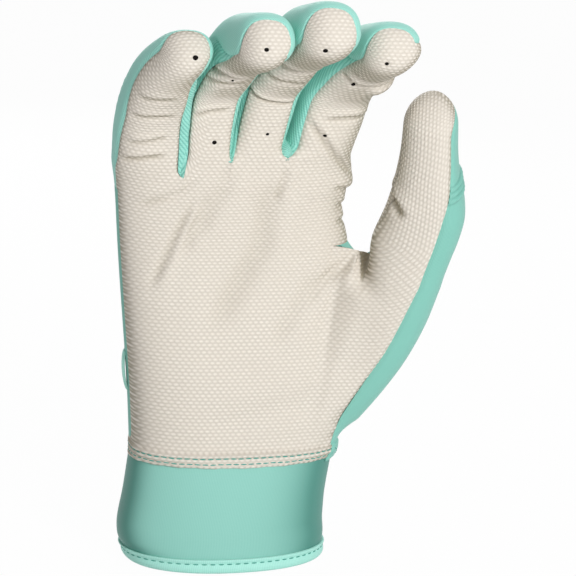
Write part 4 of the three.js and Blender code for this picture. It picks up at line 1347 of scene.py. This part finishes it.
# stitches: rows of short thread, each sunk halfway into what it holds
def stitchRow(name, line, out, spec, body="hand"):
    run = runOf(line)
    size = (spec["length"] / 2, spec["width"] / 2, spec["width"] / 2.6)
    beads = []
    for at in np.arange(spec["pitch"] / 2, run[-1], spec["pitch"]):
        here, ahead, side = (np.array([np.interp(d, run, table[:, k]) for k in range(3)])
                             for d, table in ((at, line), (at + 0.3, line), (at, out)))
        way = Vector(ahead - here).normalized()
        up = Vector(side - Vector(side).dot(way) * np.array(way)).normalized()
        beads.append((here, Matrix((way, up.cross(way), up)).transposed().to_4x4(), size))
    made = beadPiece(name, beads, (8, 6), tealThread)
    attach(made, body)


palmStitch = {"pitch": 2.9, "length": 2.4, "width": 0.5}
hemStitch = {"pitch": 3.2, "length": 2.2, "width": 0.6}
backStitch = {"pitch": 2.6, "length": 1.9, "width": 0.5, "beside": 1.5}


def roundOut(turns):  # the way outwards round the cuff
    return cuffPoint(20.0, turns, 1.0) - cuffPoint(20.0, turns, 0.0)


def makeStitches():
    turns = np.linspace(strip["turns"][0] + 2, strip["turns"][1] - 1, 300)
    for k, row in enumerate(strip["rows"]):
        line = stripPoint(turns, strip["low"] + row + 0.6 * stripWave(turns), strip["out"] + 0.18)
        stitchRow(f"palmStitches{k + 1}", line, roundOut(turns), palmStitch)
    turns = np.linspace(92 + float(slitTurn(4)), 448 - float(slitTurn(4)), 500)
    stitchRow("hemStitches", cuffPoint(3.9, turns, 0.45), roundOut(turns), hemStitch)
    s = np.linspace(3, palm["top"] - 4, 300)
    rows = [(np.interp(s, *seam["line"].T[::-1]) + backStitch["beside"] * way, s)
            for seam, way in zip(backLines, (-1, 1))]
    rows.append((np.linspace(-44, 34, 300), np.full(300, palm["top"] - 1.8)))
    for k, (x, s) in enumerate(rows):
        lean = np.interp(s, palmSpine["s"], palmSpine["lean"])
        out = np.stack([0 * lean, np.cos(lean), np.sin(lean)], -1)
        stitchRow(f"backStitches{k + 1}", palmSurface(s, palmTurn(s, x, False)), out, backStitch)


makeStitches()


# closure strap on the back of the cuff, in degrees round the cuff from the thumb side
strap = {
    "low": 9.0, "high": 37.0, "root": 42, "tip": 128, "top": 4.85, "wall": 1.6, "rounding": 7,
    "anchor": 26, "anchorWall": 3.0, "tab": 8, "inset": 5,
    "edge": 2.2,  # from the edges to the rows of stitches
}
pads = {"turns": (104, 125), "inset": 3, "loopOut": 1.45, "hookOut": 2.9, "wall": 1.1}


def roundedEnd(last, by):  # an end whose corners are rounded off
    middle, half = (strap["low"] + strap["high"]) / 2, (strap["high"] - strap["low"]) / 2
    return lambda z: last - by * (1 - math.sqrt(max(0.0, 1 - min(1.0, abs(z - middle) / half) ** 4)))


def pressedEdge(points, depth, reach):  # lets the border of a grid fall away
    c, r = runAcross(points), runUp(points)
    border = np.minimum(np.minimum(c, c[:, -1:] - c), np.minimum(r, r[-1:] - r))
    return pushed(points, -depth * (1 - smooth(border / reach)))


def makeStrap():
    low, high, root, tip, top = (strap[k] for k in ("low", "high", "root", "tip", "top"))
    heights = np.linspace(low, high, 36)
    band = pressedEdge(wrapGrid(heights, root, roundedEnd(tip, strap["rounding"]), top), 0.5, 1.2)
    plainPiece("wristStrap", band, cuffSatin, "cuff", ["wrist_strap"], strap["wall"], "strap")
    anchor = pressedEdge(wrapGrid(heights, strap["anchor"], root - 1, top - 0.8), 1.2, 2.2)
    plainPiece("strapAnchor", anchor, cuffSatin, "cuff", ["strap_anchor"], strap["anchorWall"])
    inner = np.linspace(low + strap["inset"], high - strap["inset"], 26)
    tab = pressedEdge(wrapGrid(inner, tip - 1, tip + strap["tab"], top - 0.1), 0.4, 1.0)
    plainPiece("pullTab", tab, bindingTape, "binding", ["pull_tab"], strap["wall"] - 0.3, "strap")
    inner = np.linspace(low + pads["inset"], high - pads["inset"], 30)
    pile = pressedEdge(wrapGrid(inner, *pads["turns"], pads["loopOut"]), 0.4, 1.0)
    plainPiece("loopPad", pile, pileCloth, "hook_loop", ["loop_pad"], pads["wall"])
    hooks = wrapGrid(inner, *pads["turns"], pads["hookOut"])
    plainPiece("hookPad", hooks, pileCloth, "hook_loop", ["hook_pad"], pads["wall"], "strap")
    turns = np.linspace(root + 2, tip - 6, 200)
    for label, z in (("Low", low + strap["edge"]), ("High", high - strap["edge"])):
        line = cuffPoint(z, turns, top)
        stitchRow(f"strapStitches{label}", line, roundOut(turns), hemStitch, "strap")
    z = np.linspace(low + 2, high - 2, 100)
    for label, turn in (("1", strap["anchor"] + 3.0), ("2", root - 4.0)):
        turns = np.full(len(z), turn)
        line = cuffPoint(z, turns, top - 0.85)
        stitchRow(f"anchorStitches{label}", line, roundOut(turns), hemStitch)


makeStrap()

# small trims at the edge of the palm: a loop on the outer side, a tab where the thumb's seam meets the cuff
loopTrim = {"rows": (24, 40), "turns": (167, 177), "foot": 0.2, "rise": 1.3, "wall": 0.9}
tabTrim = {"rows": (-3.0, 5.0), "turns": (325, 346), "out": 1.5, "wall": 1.2, "stitches": (328, 342)}


def makeTrims():
    low, high = loopTrim["rows"]
    s, turns = np.meshgrid(np.linspace(low, high, 40), np.linspace(*loopTrim["turns"], 10), indexing="ij")
    rise = loopTrim["foot"] + loopTrim["rise"] * np.sin(np.pi * (s - low) / (high - low)) ** 0.5
    points = pushed(palmSurface(s, turns), rise)
    plainPiece("edgeLoop", points, bindingTape, "binding", [], loopTrim["wall"])
    turns = np.linspace(*tabTrim["turns"], 22)
    rows = np.stack([stripPoint(turns, np.full(22, h), 0) for h in np.linspace(*tabTrim["rows"], 22)])
    tab = pressedEdge(pushed(rows, np.full((22, 22), tabTrim["out"])), 0.8, 1.2)
    plainPiece("seamTab", tab, backCloth, "back", [], tabTrim["wall"])
    turns = np.linspace(*tabTrim["stitches"], 60)
    line = stripPoint(turns, np.linspace(2.6, -1.6, 60), 0) + roundOut(turns) * 1.6
    stitchRow("tabStitches", line, roundOut(turns), palmStitch)


makeTrims()

webs = [  # a soft roll at the foot of each slot: place across, start past the finger roots, radius
    ("index_middle", 10.6, 3.2, 2.6), ("middle_ring", -10.4, 1.0, 0.7), ("ring_little", -27.0, 0.6, 2.2),
]


def makeWebs():
    for name, web, start, radius in webs:
        at = palm["length"] + start
        low, high = (palmSection(at, palmTurn(at, web, front))[1] for front in (True, False))
        low += 1.0  # the leather's edge shows in front of it
        back = np.linspace(low - 0.2, high + 0.2, 40)[:, None]
        angle = np.linspace(0, 2 * math.pi, 25)[None, :]
        ends = np.sqrt(np.clip(1 - (2 * (back - low) / (high - low) - 1) ** 8, 0, 1))
        station = at - 0.4 + radius * ends * np.sin(angle)
        points = palmPlace(station, web + radius * ends * np.cos(angle), np.broadcast_to(back, station.shape))
        plainPiece(name.split("_")[0] + "Web", points[:, ::-1], sideKnit, "knit", [f"{name}_web"], 0)


makeWebs()
print("trims made")


# floor, light and the white room; each lamp has a place, a size and a power
room = {
    "ambient": 0.32, "aim": (0.01, -0.01, 0.11),
    "lamps": {
        "keyLamp": ((0.2, -1.0, 0.46), 0.45, 7.5), "fillLamp": ((-0.9, -0.6, 0.3), 0.6, 0.4),
        "topLamp": ((0.1, 0.2, 1.1), 0.5, 1.7), "rearLamp": ((0.2, 1.1, 0.6), 0.5, 4.0),
    },
}


def addLamp(name, place, size, power):
    data = bpy.data.lights.new(name, "AREA")
    data.shape = "DISK"
    data.size = size
    data.energy = power
    lamp = bpy.data.objects.new(name, data)
    lamp.location = place
    aim = Vector(room["aim"]) - Vector(place)
    lamp.rotation_euler = aim.to_track_quat("-Z", "Y").to_euler()
    scene.collection.objects.link(lamp)


def seenDirectly(tree):  # 1 for rays that should see plain white
    path = tree.nodes.new("ShaderNodeLightPath")
    seen = step(tree, "MAXIMUM", path.outputs["Is Camera Ray"], path.outputs["Is Glossy Ray"])
    return step(tree, "MAXIMUM", seen, path.outputs["Is Transmission Ray"])


def makeRoom(spec):
    world = bpy.data.worlds.new("room")
    scene.world = world
    world.use_nodes = True
    tree = world.node_tree
    plain = tree.nodes["Background"]
    plain.inputs["Color"].default_value = (1, 1, 1, 1)
    seen = seenDirectly(tree)
    strength = step(tree, "ADD", step(tree, "MULTIPLY", seen, 1 - spec["ambient"]), spec["ambient"])
    tree.links.new(strength, plain.inputs["Strength"])
    bm = bmesh.new()
    bmesh.ops.create_grid(bm, x_segments=4, y_segments=4, size=3)
    mesh = bpy.data.meshes.new("floor")
    bm.to_mesh(mesh)
    bm.free()
    material = bpy.data.materials.new("paleFloor")
    material.use_nodes = True
    tree = material.node_tree
    shader = tree.nodes["Principled BSDF"]
    shader.inputs["Base Color"].default_value = (0.86, 0.86, 0.86, 1)
    shader.inputs["Roughness"].default_value = 0.9
    glow = tree.nodes.new("ShaderNodeEmission")
    both = tree.nodes.new("ShaderNodeMixShader")
    tree.links.new(step(tree, "MULTIPLY", seenDirectly(tree), 0.97), both.inputs[0])
    tree.links.new(shader.outputs[0], both.inputs[1])
    tree.links.new(glow.outputs[0], both.inputs[2])
    tree.links.new(both.outputs[0], tree.nodes["Material Output"].inputs["Surface"])
    mesh.materials.append(material)
    floor = linkObject("floor", mesh)
    floor.location.z = -0.0005
    for name, lamp in spec["lamps"].items():
        addLamp(name, *lamp)


makeRoom(room)
print("room made")
